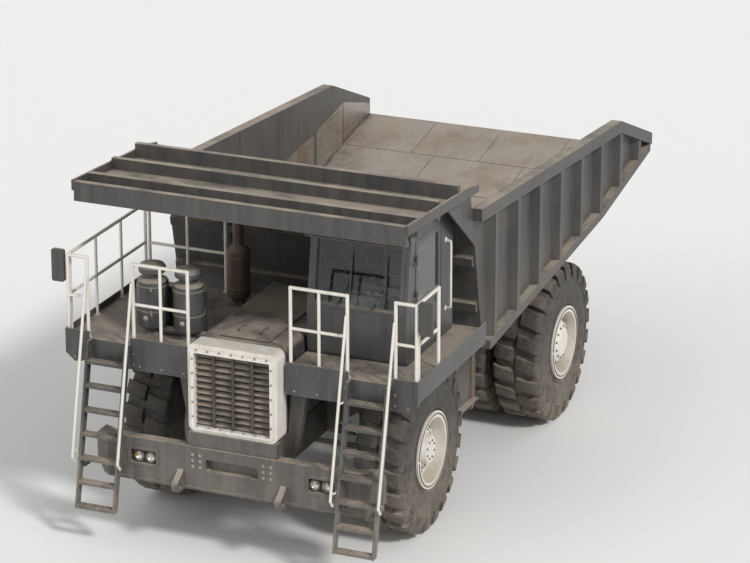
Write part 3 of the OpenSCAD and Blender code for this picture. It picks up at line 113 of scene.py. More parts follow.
def new_material(name):
    """A new material, its node tree, and the inputs of its Principled shader."""
    material = bpy.data.materials.new(name)
    material.use_nodes = True
    return material, material.node_tree, material.node_tree.nodes["Principled BSDF"].inputs


bpy.ops.mesh.primitive_circle_add(vertices=96, radius=FLOOR_RADIUS, fill_type="NGON")
floor = bpy.context.object
floor.name = "floor"
floor_paint, _, surface = new_material("floor_paint")
surface["Base Color"].default_value = (0.80, 0.79, 0.77, 1)
surface["Roughness"].default_value = 1.0
surface["Specular IOR Level"].default_value = 0.0
floor.data.materials.append(floor_paint)
print("floor radius", FLOOR_RADIUS)

# %% [markdown]
# ## Node groups for wear
# Every finish on a mining truck shows the same few effects: dust that settles on upward faces and
# creeps up from the ground, bright bare metal along edges, small chips, and dirt that runs down
# plates. Each effect is one node group with named inputs, so each material can place it with its own
# values. All of them read Object coordinates, which stay on a piece when it moves.

# %% Helpers for node trees
def feed(tree, value, socket):
    """Writes a number, or a colour of three numbers, on the socket, and links anything else to it."""
    if isinstance(value, tuple):
        socket.default_value = (*value, 1)
    elif isinstance(value, (int, float)):
        socket.default_value = value
    else:
        tree.links.new(value, socket)


def math_node(tree, operation, a, b=None, clamp=False):
    node = tree.nodes.new("ShaderNodeMath")
    node.operation = operation
    node.use_clamp = clamp
    for value, socket in zip((a, b), node.inputs):
        if value is not None:
            feed(tree, value, socket)
    return node.outputs[0]


def plus(tree, a, b, clamp=False):
    return math_node(tree, "ADD", a, b, clamp)


def minus(tree, a, b, clamp=False):
    return math_node(tree, "SUBTRACT", a, b, clamp)


def times(tree, a, b, clamp=False):
    return math_node(tree, "MULTIPLY", a, b, clamp)


def ramp(tree, value, low, high):
    """Maps value from low..high to 0..1 with soft ends."""
    node = tree.nodes.new("ShaderNodeMapRange")
    node.interpolation_type = "SMOOTHSTEP"
    for label, given in (("From Min", low), ("From Max", high), ("Value", value)):
        feed(tree, given, node.inputs[label])
    return node.outputs["Result"]


def mix_colour(tree, factor, a, b):
    node = tree.nodes.new("ShaderNodeMix")
    node.data_type = "RGBA"
    for value, socket in zip((factor, a, b), [s for s in node.inputs if s.enabled]):
        feed(tree, value, socket)
    return [s for s in node.outputs if s.enabled][0]


def object_place(tree):
    return tree.nodes.new("ShaderNodeTexCoord").outputs["Object"]


def drawn_out(tree, scale, source=None):
    """The place with its own scale along each axis. A small scale draws a noise out along that axis."""
    mapping = tree.nodes.new("ShaderNodeMapping")
    mapping.inputs["Scale"].default_value = scale
    tree.links.new(source or object_place(tree), mapping.inputs["Vector"])
    return mapping.outputs["Vector"]


def noise(tree, scale, detail=4.0, roughness=0.6, vector=None):
    node = tree.nodes.new("ShaderNodeTexNoise")
    node.inputs["Detail"].default_value = detail
    node.inputs["Roughness"].default_value = roughness
    feed(tree, scale, node.inputs["Scale"])
    tree.links.new(vector or object_place(tree), node.inputs["Vector"])
    return node.outputs["Fac"]


print("node helpers ready")

# %% [markdown]
# ### Background
# The world's light stays at its plain level. What the camera, glossy metal and glass see of it is the
# floor's own pale grey, so that low views show no dark horizon. The Light Path node tells these rays
# from the ones that light the truck.

# %% Match the background to the floor
backdrop = sky.nodes.new("ShaderNodeBackground")
backdrop.inputs["Color"].default_value = (0.84, 0.84, 0.825, 1)
rays = sky.nodes.new("ShaderNodeLightPath").outputs
seen = math_node(sky, "MAXIMUM", rays["Is Camera Ray"], rays["Is Glossy Ray"])
seen = math_node(sky, "MAXIMUM", seen, rays["Is Transmission Ray"])
either = sky.nodes.new("ShaderNodeMixShader")
for socket, output in zip(either.inputs, (seen, sky.nodes["Background"].outputs[0], backdrop.outputs[0])):
    sky.links.new(output, socket)
sky.links.new(either.outputs[0], sky.nodes["World Output"].inputs["Surface"])
print("background nodes", len(sky.nodes))

# %% Start a node group
FLOAT, COLOUR = "NodeSocketFloat", "NodeSocketColor"


def start_group(name, inputs, outputs):
    """Returns a new group, its given values by name, and the sockets of its results."""
    group = bpy.data.node_groups.new(name, "ShaderNodeTree")
    for label, value in inputs.items():
        kind = COLOUR if isinstance(value, tuple) else FLOAT
        socket = group.interface.new_socket(name=label, in_out="INPUT", socket_type=kind)
        socket.default_value = value
    for label, kind in outputs.items():
        group.interface.new_socket(name=label, in_out="OUTPUT", socket_type=kind)
    given = group.nodes.new("NodeGroupInput").outputs
    return group, given, group.nodes.new("NodeGroupOutput").inputs


print("group helper ready")

# %% [markdown]
# ### Dust
# Dust lies thick on faces that look up, forms a haze low on the truck where wheels throw it, and
# leaves a thin film that rain has drawn down in runs. The group mixes a dust colour over a clean one
# by the sum of the three, and also puts out that sum as a mask, so that roughness can follow it.

# %% Build the dust group
tree, given, result = start_group("Dust", {
    "Color": (0.2, 0.2, 0.2, 1), "Dust Color": (0.42, 0.35, 0.27, 1), "Top": 0.7, "Low": 0.6,
    "Low Height": 2.2, "Film": 0.2, "Scale": 2.0, "Runs": 1.0}, {"Color": COLOUR, "Mask": FLOAT})
dust_group = tree
coords = tree.nodes.new("ShaderNodeTexCoord").outputs
normal_parts = tree.nodes.new("ShaderNodeSeparateXYZ")
place_parts = tree.nodes.new("ShaderNodeSeparateXYZ")
tree.links.new(coords["Normal"], normal_parts.inputs[0])
tree.links.new(coords["Object"], place_parts.inputs[0])
patches = noise(tree, given["Scale"], detail=6)
speckle = noise(tree, times(tree, given["Scale"], 16.0), detail=3)
downward = drawn_out(tree, (1.0, 1.0, 0.09), coords["Object"])
run_scale = times(tree, given["Scale"], 4.0)
drawn = ramp(tree, noise(tree, run_scale, detail=7, vector=downward), 0.30, 0.72)
cloudy = ramp(tree, noise(tree, run_scale, detail=4), 0.25, 0.75)
runs = plus(tree, cloudy, times(tree, minus(tree, drawn, cloudy), given["Runs"]))
facing_up = ramp(tree, normal_parts.outputs["Z"], 0.25, 0.95)
settled = times(tree, facing_up, ramp(tree, patches, 0.22, 0.62))
top_dust = times(tree, settled, given["Top"])
fall = math_node(tree, "DIVIDE", place_parts.outputs["Z"], given["Low Height"])
near_ground = minus(tree, 1.0, fall, clamp=True)
uneven = plus(tree, times(tree, ramp(tree, patches, 0.25, 0.7), 0.40), times(tree, runs, 0.35))
thrown = times(tree, near_ground, plus(tree, uneven, 0.25))
low_dust = times(tree, thrown, given["Low"])
thin = plus(tree, times(tree, runs, 0.75), times(tree, ramp(tree, speckle, 0.3, 0.75), 0.35))
film = times(tree, thin, given["Film"])
dust_sum = plus(tree, plus(tree, top_dust, low_dust), film, clamp=True)
dusted = mix_colour(tree, dust_sum, given["Color"], given["Dust Color"])
tree.links.new(dusted, result["Color"])
tree.links.new(dust_sum, result["Mask"])
print("dust group nodes", len(tree.nodes))

# %% [markdown]
# ### Edge wear
# Paint goes first where boots, stones and tools touch, along outer edges. The Bevel node gives the
# normal of a rounded edge. Where it differs from the true normal there is an edge, and noise breaks
# that line up so that it doesn't look drawn.

# %% Build the edge wear group
tree, given, result = start_group(
    "Edge Wear", {"Radius": 0.012, "Amount": 0.6, "Scale": 8.0}, {"Mask": FLOAT})
edge_group = tree
rounded = tree.nodes.new("ShaderNodeBevel")
rounded.samples = 4
tree.links.new(given["Radius"], rounded.inputs["Radius"])
true_normal = tree.nodes.new("ShaderNodeNewGeometry")
compare = tree.nodes.new("ShaderNodeVectorMath")
compare.operation = "DOT_PRODUCT"
tree.links.new(rounded.outputs["Normal"], compare.inputs[0])
tree.links.new(true_normal.outputs["Normal"], compare.inputs[1])
off_true = minus(tree, 1.0, compare.outputs["Value"], clamp=True)
broken = ramp(tree, noise(tree, given["Scale"], detail=5), 0.42, 0.62)
edge_mask = times(tree, ramp(tree, off_true, 0.02, 0.14), broken)
tree.links.new(times(tree, edge_mask, given["Amount"], clamp=True), result["Mask"])
print("edge group nodes", len(tree.nodes))

# %% [markdown]
# ### Chips, streaks and grain
# Chips are small islands where a noise rises above a level. Streaks are the same noise pulled out
# along the vertical, as rain draws dirt down a plate. Grain is a height for a Bump node: fine orange
# peel of thick paint with broad dents of rolled plate under it.

# %% Build the chip, streak and grain groups
tree, given, result = start_group("Chips", {"Scale": 14.0, "Amount": 0.3}, {"Mask": FLOAT})
chip_group = tree
islands = ramp(tree, noise(tree, given["Scale"], detail=8, roughness=0.72), 0.66, 0.70)
tree.links.new(times(tree, islands, given["Amount"]), result["Mask"])

tree, given, result = start_group("Streaks", {"Scale": 13.0, "Amount": 0.4}, {"Mask": FLOAT})
streak_group = tree
downward = drawn_out(tree, (1.0, 1.0, 0.06))
lines = ramp(tree, noise(tree, given["Scale"], detail=6, vector=downward), 0.5, 0.72)
tree.links.new(times(tree, lines, given["Amount"]), result["Mask"])

tree, given, result = start_group(
    "Grain", {"Fine Scale": 60.0, "Broad Scale": 1.5, "Broad Share": 0.5}, {"Height": FLOAT})
grain_group = tree
fine = noise(tree, given["Fine Scale"], detail=3)
broad = noise(tree, given["Broad Scale"], detail=2)
broad_part = times(tree, broad, given["Broad Share"])
tree.links.new(plus(tree, times(tree, fine, 0.3), broad_part), result["Height"])
print("groups", [g.name for g in bpy.data.node_groups])

# %% [markdown]
# ## Finishes
# One function lays a finish out of the groups: base colour, streaks, chips and edge wear that bare
# the metal, then dust over all, with roughness and metallic following the same masks. Its arguments
# are the values that differ between paint, cast steel and rubber.

# %% A function for dusty finishes
BARE, RUST = (0.36, 0.33, 0.30), (0.20, 0.085, 0.035)


def group_node(tree, group, **values):
    node = tree.nodes.new("ShaderNodeGroup")
    node.node_tree = group
    for label, value in values.items():
        feed(tree, value, node.inputs[label.replace("_", " ")])
    return node


def dusty_finish(name, colour, shade, rough, wear, chips, streaks, top, low, film, bare=RUST,
                 bare_metal=0.0, low_height=2.2, dust=(0.43, 0.36, 0.28), runs=1.0, metal=0.0, fine=60.0,
                 bump=0.12, bump_size=0.01):
    """A Principled finish. colour and shade are mixed in patches, and bare shows where it is worn."""
    material, tree, surface = new_material(name)
    patchy = mix_colour(tree, ramp(tree, noise(tree, 0.8, detail=4), 0.30, 0.72), colour, shade)
    streaked = mix_colour(tree, group_node(tree, streak_group, Amount=streaks).outputs["Mask"], patchy,
                          tuple(c * 0.45 for c in shade))
    edge = group_node(tree, edge_group, Amount=wear).outputs["Mask"]
    chip = group_node(tree, chip_group, Amount=chips).outputs["Mask"]
    worn = math_node(tree, "MAXIMUM", edge, chip)
    painted = mix_colour(tree, worn, streaked, bare)
    dusted = group_node(tree, dust_group, Top=top, Low=low, Low_Height=low_height, Film=film,
                        Dust_Color=dust, Runs=runs)
    cover = dusted.outputs["Mask"]
    tree.links.new(painted, dusted.inputs["Color"])
    tree.links.new(dusted.outputs["Color"], surface["Base Color"])
    tree.links.new(plus(tree, rough, times(tree, cover, 1.0 - rough), clamp=True), surface["Roughness"])
    uncovered = minus(tree, 1.0, cover, clamp=True)
    metallic = plus(tree, times(tree, worn, bare_metal), metal, clamp=True)
    tree.links.new(times(tree, metallic, uncovered), surface["Metallic"])
    relief = tree.nodes.new("ShaderNodeBump")
    relief.inputs["Strength"].default_value = bump
    relief.inputs["Distance"].default_value = bump_size
    grain = group_node(tree, grain_group, Fine_Scale=fine).outputs["Height"]
    tree.links.new(minus(tree, grain, times(tree, worn, 0.2)), relief.inputs["Height"])
    tree.links.new(relief.outputs["Normal"], surface["Normal"])
    return material


print("finish function ready")

# %% [markdown]
# ## The truck's paints and metals
# The photograph shows two near-black lobes and one near-white spot. The plates therefore get a
# charcoal paint gone brown with dust, the radiator front and the wheels an off-white one, and the
# frame a darker steel. The load floor is scoured bare by rock.

# %% Mix the paints
# Each row: key, name, colour, shade, (roughness, wear, chips, streaks, top, low, film), other values
PAINTS = [
    ("charcoal", "charcoal_paint", (0.060, 0.061, 0.064), (0.042, 0.043, 0.047),
     (0.36, 0.55, 0.35, 0.35, 0.62, 0.45, 0.09), {"bare": BARE, "bare_metal": 0.9, "low_height": 2.4}),
    ("body", "body_paint", (0.066, 0.064, 0.063), (0.043, 0.043, 0.045),
     (0.46, 0.75, 0.6, 0.4, 0.62, 0.32, 0.1), {"bare_metal": 0.1, "low_height": 3.0}),
    ("frame", "frame_steel", (0.040, 0.040, 0.042), (0.026, 0.026, 0.027),
     (0.5, 0.5, 0.5, 0.4, 0.6, 0.5, 0.12), {"bare_metal": 0.1}),
    ("white", "white_paint", (0.80, 0.77, 0.71), (0.72, 0.68, 0.61),
     (0.34, 0.45, 0.6, 0.3, 0.45, 0.55, 0.1), {"low_height": 1.7}),
    ("cast", "cast_steel", (0.060, 0.058, 0.057), (0.040, 0.037, 0.035),
     (0.55, 0.5, 0.4, 0.4, 0.7, 0.55, 0.15), {"bare_metal": 0.1, "fine": 25.0, "bump": 0.35}),
    ("scoured", "scoured_plate", (0.40, 0.37, 0.34), (0.27, 0.235, 0.205),
     (0.28, 0.3, 0.7, 0.0, 0.3, 0.0, 0.22), {"metal": 0.85, "fine": 18.0, "bump": 0.3}),
    ("rubber", "tyre_rubber", (0.020, 0.020, 0.021), (0.030, 0.029, 0.028),
     (0.62, 0.55, 0.25, 0.0, 0.4, 0.62, 0.22), {"bare": (0.075, 0.068, 0.062), "low_height": 1.5,
                                                "dust": (0.30, 0.25, 0.195), "runs": 0.0, "fine": 45.0,
                                                "bump": 0.3}),
    ("hose", "hose_rubber", (0.018, 0.018, 0.019), (0.026, 0.025, 0.024),
     (0.5, 0.1, 0.1, 0.0, 0.5, 0.4, 0.12), {"bare": (0.10, 0.09, 0.08), "fine": 120.0}),
    ("fabric", "seat_fabric", (0.060, 0.060, 0.066), (0.045, 0.045, 0.050),
     (0.9, 0.15, 0.0, 0.0, 0.15, 0.0, 0.05), {"bare": (0.12, 0.12, 0.12), "fine": 420.0, "bump": 0.5,
                                              "bump_size": 0.002}),
    ("bright", "bright_metal", (0.70, 0.71, 0.72), (0.60, 0.60, 0.60),
     (0.15, 0.0, 0.0, 0.0, 0.2, 0.1, 0.08), {"bare": (0.5, 0.5, 0.5), "metal": 1.0, "bump": 0.02}),
    ("zinc", "zinc_plating", (0.42, 0.41, 0.38), (0.30, 0.28, 0.24),
     (0.35, 0.2, 0.5, 0.2, 0.5, 0.45, 0.15), {"metal": 0.9, "fine": 90.0}),
    ("weld", "painted_weld", (0.055, 0.054, 0.053), (0.038, 0.037, 0.037),
     (0.45, 0.6, 0.8, 0.3, 0.55, 0.3, 0.15), {"bare_metal": 0.1, "fine": 80.0, "bump": 0.3}),
    ("hot", "heated_steel", (0.105, 0.070, 0.050), (0.050, 0.045, 0.052),
     (0.5, 0.5, 0.9, 0.5, 0.45, 0.0, 0.12), {"metal": 0.55, "fine": 40.0, "bump": 0.25}),
    ("plastic", "cab_trim", (0.040, 0.040, 0.042), (0.052, 0.052, 0.052),
     (0.55, 0.2, 0.0, 0.0, 0.2, 0.0, 0.08), {"bare": (0.12, 0.12, 0.12), "fine": 220.0, "bump": 0.25}),
    ("ladder", "ladder_paint", (0.060, 0.061, 0.064), (0.042, 0.043, 0.047),
     (0.40, 0.6, 0.5, 0.35, 0.6, 0.5, 0.12), {"bare": BARE, "bare_metal": 0.9}),
]
finishes = {key: dusty_finish(name, colour, shade, *values, **others)
            for key, name, colour, shade, values, others in PAINTS}
print("finishes", sorted(finishes))

# %% [markdown]
# ### Two colours on one piece
# The ladders are one welded piece, but their grab rails are painted white so that a hand finds them.
# The second colour goes over the paint and under the dust, where the distance from the ladder's
# middle is larger than that of its side plates.

# %% Paint the grab rails
LADDER_MIDDLE, RAIL_FROM = 1.755, 0.278


def beside_ladder(tree):
    """One outside the side plates of either ladder, else zero."""
    parts = tree.nodes.new("ShaderNodeSeparateXYZ")
    tree.links.new(object_place(tree), parts.inputs[0])
    across = minus(tree, math_node(tree, "ABSOLUTE", parts.outputs["Y"]), LADDER_MIDDLE)
    return math_node(tree, "GREATER_THAN", math_node(tree, "ABSOLUTE", across), RAIL_FROM)


def second_colour(material, colour, mask):
    tree = material.node_tree
    dust_node = next(n for n in tree.nodes if n.type == "GROUP" and n.node_tree == dust_group)
    painted = dust_node.inputs["Color"].links[0].from_socket
    tree.links.new(mix_colour(tree, mask(tree), painted, colour), dust_node.inputs["Color"])


second_colour(finishes["ladder"], (0.74, 0.71, 0.65), beside_ladder)
print("ladder rails from", LADDER_MIDDLE + RAIL_FROM)

# %% [markdown]
# ### Scoured plate
# Rock slides backwards over the floor at every dump and scratches it along the truck. Between loads
# the bare steel rusts in broad patches. Both are second colours over the steel.

# %% Scratch and rust the load floor
def scratches(tree):
    lines = noise(tree, 9.0, detail=9, roughness=0.75, vector=drawn_out(tree, (0.07, 8.0, 2.5)))
    return times(tree, ramp(tree, lines, 0.42, 0.66), 0.55)


def rust_patches(tree):
    return times(tree, ramp(tree, noise(tree, 1.1, detail=8, roughness=0.7), 0.45, 0.68), 0.7)


second_colour(finishes["scoured"], (0.12, 0.105, 0.095), scratches)
second_colour(finishes["scoured"], (0.20, 0.115, 0.070), rust_patches)
print("floor scoured")

# %% [markdown]
# ### Rods, glass and lenses
# Hoist and steering rods are hard chrome, dulled and browned in patches by oil and dust. Window glass
# is a thin tinted pane with a faint haze, so it stays a plain transmission shader and only its
# roughness varies. Daylight passes through a real pane, so its alpha drops for shadow rays alone, and
# the cab inside is lit. Lenses are clear over a pale reflector.

# %% Mix chrome and glass
DAYLIGHT = 0.85


def chrome_finish():
    material, tree, surface = new_material("rod_chrome")
    surface["Metallic"].default_value = 1.0
    wiped = ramp(tree, noise(tree, 5.0, detail=6), 0.35, 0.75)
    tint = mix_colour(tree, wiped, (0.62, 0.63, 0.65), (0.45, 0.42, 0.38))
    tree.links.new(tint, surface["Base Color"])
    tree.links.new(plus(tree, 0.12, times(tree, wiped, 0.25)), surface["Roughness"])
    return material


def glass_finish(name, colour, rough):
    material, tree, surface = new_material(name)
    surface["Transmission Weight"].default_value = 1.0
    surface["IOR"].default_value = 1.45
    feed(tree, colour, surface["Base Color"])
    haze = ramp(tree, noise(tree, 3.0, detail=6), 0.45, 0.8)
    tree.links.new(plus(tree, rough, times(tree, haze, 0.06)), surface["Roughness"])
    shadow = tree.nodes.new("ShaderNodeLightPath").outputs["Is Shadow Ray"]
    tree.links.new(minus(tree, 1.0, times(tree, shadow, DAYLIGHT)), surface["Alpha"])
    return material


finishes["chrome"] = chrome_finish()
finishes["glass"] = glass_finish("window_glass", (0.66, 0.74, 0.76), 0.02)
finishes["lens"] = glass_finish("clear_lens", (0.93, 0.92, 0.88), 0.04)
finishes["red_lens"] = glass_finish("red_lens", (0.62, 0.03, 0.02), 0.12)
finishes["amber_lens"] = glass_finish("amber_lens", (0.85, 0.30, 0.03), 0.12)
print("finishes", len(finishes))

# %% [markdown]
# ## Finishes onto the solid model
# Every node keeps its mesh and takes one finish. A table of beginnings of names is enough, because
# the nodes are named after the pieces. The first row that fits is used, and the rest is charcoal.

# %% Give every node its finish
NODE_FINISH = [
    ("rubber", ("tyre",)), ("white", ("rim", "radiator", "handrails")), ("ladder", ("ladders",)),
    ("body", ("bed", "canopy")), ("glass", ("cab_glass", "door_glass")), ("lens", ("lamps",)),
    ("plastic", ("cab_interior", "mirrors")), ("hot", ("exhaust",)),
    ("cast", ("engine", "drivetrain", "rear_axle", "knuckle")),
    ("frame", ("hoist_barrel", "tie_rod", "frame", "crossmembers", "strut", "rear_struts", "grille",
               "deck_supports", "steer_barrels", "rock_ejectors")),
    ("chrome", ("hoist", "steer_rod")), ("charcoal", ("",))]
for node_name, node in nodes.items():
    finish_name = next(finish for finish, starts in NODE_FINISH if node_name.startswith(starts))
    node.data.materials.clear()
    node.data.materials.append(finishes[finish_name])
print("dressed", len(nodes), "nodes")

# %% [markdown]
# ## Tools for building pieces
# Pieces are built as meshes in code, with their vertices at their real places, so each object's
# origin stays at the frame's origin and the finishes read the same coordinates as on the solid
# model. A piece is first a bmesh. It is filled from small shapes: turned profiles, extruded outlines,
# tubes along a path, bolts, and stamped copies of a lug or a tread bar. Most of them are bands of
# faces between rings.

# %% Rings and the bands between them
X, Y, Z = Vector((1, 0, 0)), Vector((0, 1, 0)), Vector((0, 0, 1))


def angles(count, start=0.0):
    return [start + math.tau * i / count for i in range(count)]


def polar(radius, angle, height=0.0):
    return Vector((radius * math.cos(angle), radius * math.sin(angle), height))


def ring(bm, centre, radius, side, up, count):
    """Points round centre in the plane of the directions side and up."""
    return [bm.verts.new(centre + radius * (math.cos(a) * side + math.sin(a) * up)) for a in angles(count)]


def bridge(bm, rings, closed=False):
    """Bands of faces from each ring to the next. A ring may also be one point, repeated."""
    for low, high in list(zip(rings, rings[1:])) + ([(rings[-1], rings[0])] if closed else []):
        for i in range(len(low)):
            j = (i + 1) % len(low)
            corners = list(dict.fromkeys((low[i], low[j], high[j], high[i])))
            if len(corners) > 2:
                bm.faces.new(corners)


print("ring tools ready")

# %% Turn a profile, extrude an outline, sweep a tube
def turned(bm, profile, matrix, steps=32, closed=False):
    """Revolves [(radius, height), ...] about the local Z axis of matrix."""
    rings = []
    for radius, height in profile:
        if radius < 1e-6:
            rings.append([bm.verts.new(matrix @ Vector((0, 0, height)))] * steps)
        else:
            rings.append([bm.verts.new(matrix @ polar(radius, a, height)) for a in angles(steps)])
    bridge(bm, rings, closed)


def prism(bm, outline, matrix, depth):
    """Extrudes [(x, y), ...] by depth along the local Z axis of matrix."""
    low = [bm.verts.new(matrix @ Vector((x, y, 0))) for x, y in outline]
    high = [bm.verts.new(matrix @ Vector((x, y, depth))) for x, y in outline]
    bm.faces.new(low[::-1])
    bm.faces.new(high)
    bridge(bm, [low, high])


def oblong(half_x, half_y):
    return [(-half_x, -half_y), (half_x, -half_y), (half_x, half_y), (-half_x, half_y)]


def cuboid(bm, low, high):
    """A block between two corners. Their Y values may come in either order, for mirrored pieces."""
    y0, y1 = sorted((low[1], high[1]))
    prism(bm, [(low[0], y0), (high[0], y0), (high[0], y1), (low[0], y1)],
          Matrix.Translation((0, 0, low[2])), high[2] - low[2])


def swept(bm, path, radius, sides=10, closed=False):
    """A round tube along a list of points. The ring's frame is carried along, so it doesn't twist."""
    points = [Vector(p) for p in path]
    count = len(points)
    up = Z if abs((points[1] - points[0]).normalized().z) < 0.9 else X
    rings = []
    for i, point in enumerate(points):
        ahead = points[(i + 1) % count] if closed or i < count - 1 else point
        behind = points[i - 1] if closed or i > 0 else point
        along = (ahead - behind).normalized()
        side = along.cross(up).normalized()
        up = side.cross(along)
        rings.append(ring(bm, point, radius, side, up, sides))
    bridge(bm, rings, closed)
    if not closed:
        bm.faces.new(rings[0][::-1])
        bm.faces.new(rings[-1])


print("shape tools ready")

# %% Lay paths, place frames and set bolts
def smooth_path(points, steps=8):
    """A Catmull-Rom curve through the points."""
    pts = [Vector(p) for p in points]
    last = len(pts) - 1
    out = []
    for i in range(last):
        a, b, c, d = (pts[min(max(k, 0), last)] for k in range(i - 1, i + 3))
        for s in range(steps):
            t = s / steps
            out.append(0.5 * (2 * b + (c - a) * t + (2 * a - 5 * b + 4 * c - d) * t ** 2
                              + (3 * b - a - 3 * c + d) * t ** 3))
    return out + [pts[-1]]


def on_line(corners, at):
    """The second value at a first value, on the line through corners [(first, second), ...] that rise."""
    for (a, low), (b, high) in zip(corners, corners[1:]):
        if at <= b:
            break
    return low + (high - low) * (at - a) / (b - a)


def rounded_path(middle, across, up, half_w, half_h, radius, steps=5):
    """Points round a rounded rectangle in the plane of the directions across and up."""
    path = []
    for sx, sy, start in ((1, 1, 0), (-1, 1, 90), (-1, -1, 180), (1, -1, 270)):
        for k in range(steps + 1):
            a = math.radians(start + 90 * k / steps)
            path.append(middle + across * (sx * (half_w - radius) + radius * math.cos(a))
                        + up * (sy * (half_h - radius) + radius * math.sin(a)))
    return path


def rounded_outline(half_x, half_y, radius, steps):
    return [(p.x, p.y) for p in rounded_path(Vector(), X, Y, half_x, half_y, radius, steps)]


def facing(place, direction, spin=0.0):
    """A frame at place whose Z axis looks along direction."""
    turn = Vector(direction).to_track_quat("Z", "Y").to_matrix().to_4x4()
    return Matrix.Translation(place) @ turn @ Matrix.Rotation(spin, 4, "Z")


def framed(place, x_axis, y_axis, z_axis):
    """A frame at place with the three given axes."""
    here = Matrix((x_axis, y_axis, z_axis)).transposed().to_4x4()
    here.translation = place
    return here


def bolt(bm, place, direction, radius, spin=0.0, washer=1.45):
    """A hexagon head with a chamfered top on its washer."""
    here = facing(place, direction, spin)
    turned(bm, [(0, -0.2 * radius), (washer * radius, -0.2 * radius), (washer * radius, 0.22 * radius),
                (0.9 * radius, 0.24 * radius)], here, steps=14)
    turned(bm, [(radius, 0.2 * radius), (radius, 0.85 * radius), (0.84 * radius, radius), (0, radius)],
           here, steps=6)


def bolt_ring(bm, here, radius, count, head, height=0.0, start=0.0, turn=1.0, tilt=0.0):
    """A circle of bolts round the local Z axis of here. tilt leans their heads outward."""
    for angle in angles(count, start):
        out = polar(1, angle)
        look = here.to_3x3() @ (out * math.sin(tilt) + Z * math.cos(tilt))
        bolt(bm, here @ (radius * out + Z * height), look, head, spin=angle * turn)


print("bolts ready")

# %% [markdown]
# A template is a small mesh kept as plain vertices and faces, so that copies of it can be stamped
# quickly. Each finished bmesh becomes a piece: it gets its finish, rides on a body, and names the
# material slot of the record that it belongs to, which follows from the finish unless it is given.


def as_template(bm):
    verts = [v.co.copy() for v in bm.verts]
    bm.verts.index_update()
    faces = [[v.index for v in f.verts] for f in bm.faces]
    bm.free()
    return verts, faces


def stamp(bm, template, matrix):
    verts = [bm.verts.new(matrix @ v) for v in template[0]]
    for face in template[1]:
        bm.faces.new([verts[i] for i in face])


def soften(bm, width, segments=2, angle=40):
    """Bevels every edge sharper than angle."""
    bm.normal_update()
    edges = [e for e in bm.edges if e.is_manifold and e.calc_face_angle(0) > math.radians(angle)]
    bmesh.ops.bevel(bm, geom=edges, offset=width, segments=segments, profile=0.6, affect="EDGES",
                    clamp_overlap=True)


def add_piece(name, bm, finish, body="chassis", smooth=38):
    """Closes a bmesh into a piece that rides on a body. Edges sharper than `smooth` degrees stay sharp."""
    bmesh.ops.recalc_face_normals(bm, faces=bm.faces)
    mesh = bpy.data.meshes.new(name)
    bm.to_mesh(mesh)
    bm.free()
    mesh.shade_smooth()
    mesh.set_sharp_from_angle(angle=math.radians(smooth))
    mesh.materials.append(finishes[finish])
    piece = place_object(name, mesh)
    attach(piece, body)
    return piece


print("piece tools ready")

# %% [markdown]
# ## Tyres
# A haul truck's tyre is a deep-treaded radial. Two rows of heavy lugs are staggered by half a pitch,
# each lug is wider at its root than at its tip, leans a little, and runs over the shoulder on to the
# sidewall. The carcass is a lathe profile with protector ribs near the rim and the shoulder. The
# solid model's tyre has plain straight lugs, so these pieces replace it and keep its outer size. A
# lug's face is flat between its corners, so the tread radius is 2.5 mm larger than the hub's height.

# %% Measure the wheels on the solid model
WHEELS = [
    ("tyre_front_left", "wheel_front_left", 1, 1), ("tyre_front_right", "wheel_front_right", -1, 1),
    ("tyres_rear_left", "wheel_rear_left", 1, 2), ("tyres_rear_right", "wheel_rear_right", -1, 2)]


def box_size(node_name):
    low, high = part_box(node_name)
    return high - low


def box_middle(node_name):
    low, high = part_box(node_name)
    return (low + high) / 2


TYRE_WIDTH = box_size("tyre_front_left").y
TWIN_STEP = box_size("tyres_rear_left").y - TYRE_WIDTH
HUB_Z = box_middle("tyre_front_left").z
TREAD_RADIUS = HUB_Z + 0.0025
print("tyre width", round(TYRE_WIDTH, 3), "radius", round(TREAD_RADIUS, 3), "twin step", round(TWIN_STEP, 3))

# %% Shape the carcass and one lug
LUGS = 22
LUG_DEPTH = 0.070
LEAN = 0.20
HALF = TYRE_WIDTH / 2
BASE_RADIUS = TREAD_RADIUS - LUG_DEPTH
RIM_RADIUS = 0.4445

# From the bead over the sidewall to the tread: (height over the rim, place across the tyre)
BEAD_SIDE = [
    (0.004, 0.236), (0.004, HALF - 0.034), (0.050, HALF - 0.032), (0.075, HALF - 0.020),
    (0.090, HALF - 0.004), (0.104, HALF - 0.004), (0.115, HALF - 0.018), (0.200, HALF - 0.005),
    (0.270, HALF), (0.340, HALF - 0.002)]
# The same below the tread's base: (depth under the base, place across the tyre)
SHOULDER = [
    (0.165, HALF - 0.010), (0.155, HALF - 0.001), (0.140, HALF - 0.001), (0.128, HALF - 0.014),
    (0.060, HALF - 0.025), (0.018, HALF - 0.050), (0.002, HALF - 0.110), (-0.003, 0)]
side_curve = smooth_path([(RIM_RADIUS + r, y, 0) for r, y in BEAD_SIDE]
                         + [(BASE_RADIUS - r, y, 0) for r, y in SHOULDER], steps=3)
carcass = [(p.x, p.y) for p in side_curve]
carcass += [(r, -h) for r, h in carcass[-2::-1]]
inside = [(RIM_RADIUS + 0.060, 0.20), (RIM_RADIUS + 0.16, HALF - 0.08), (BASE_RADIUS - 0.10, 0.20)]
carcass += [(r, -h) for r, h in inside] + inside[::-1]

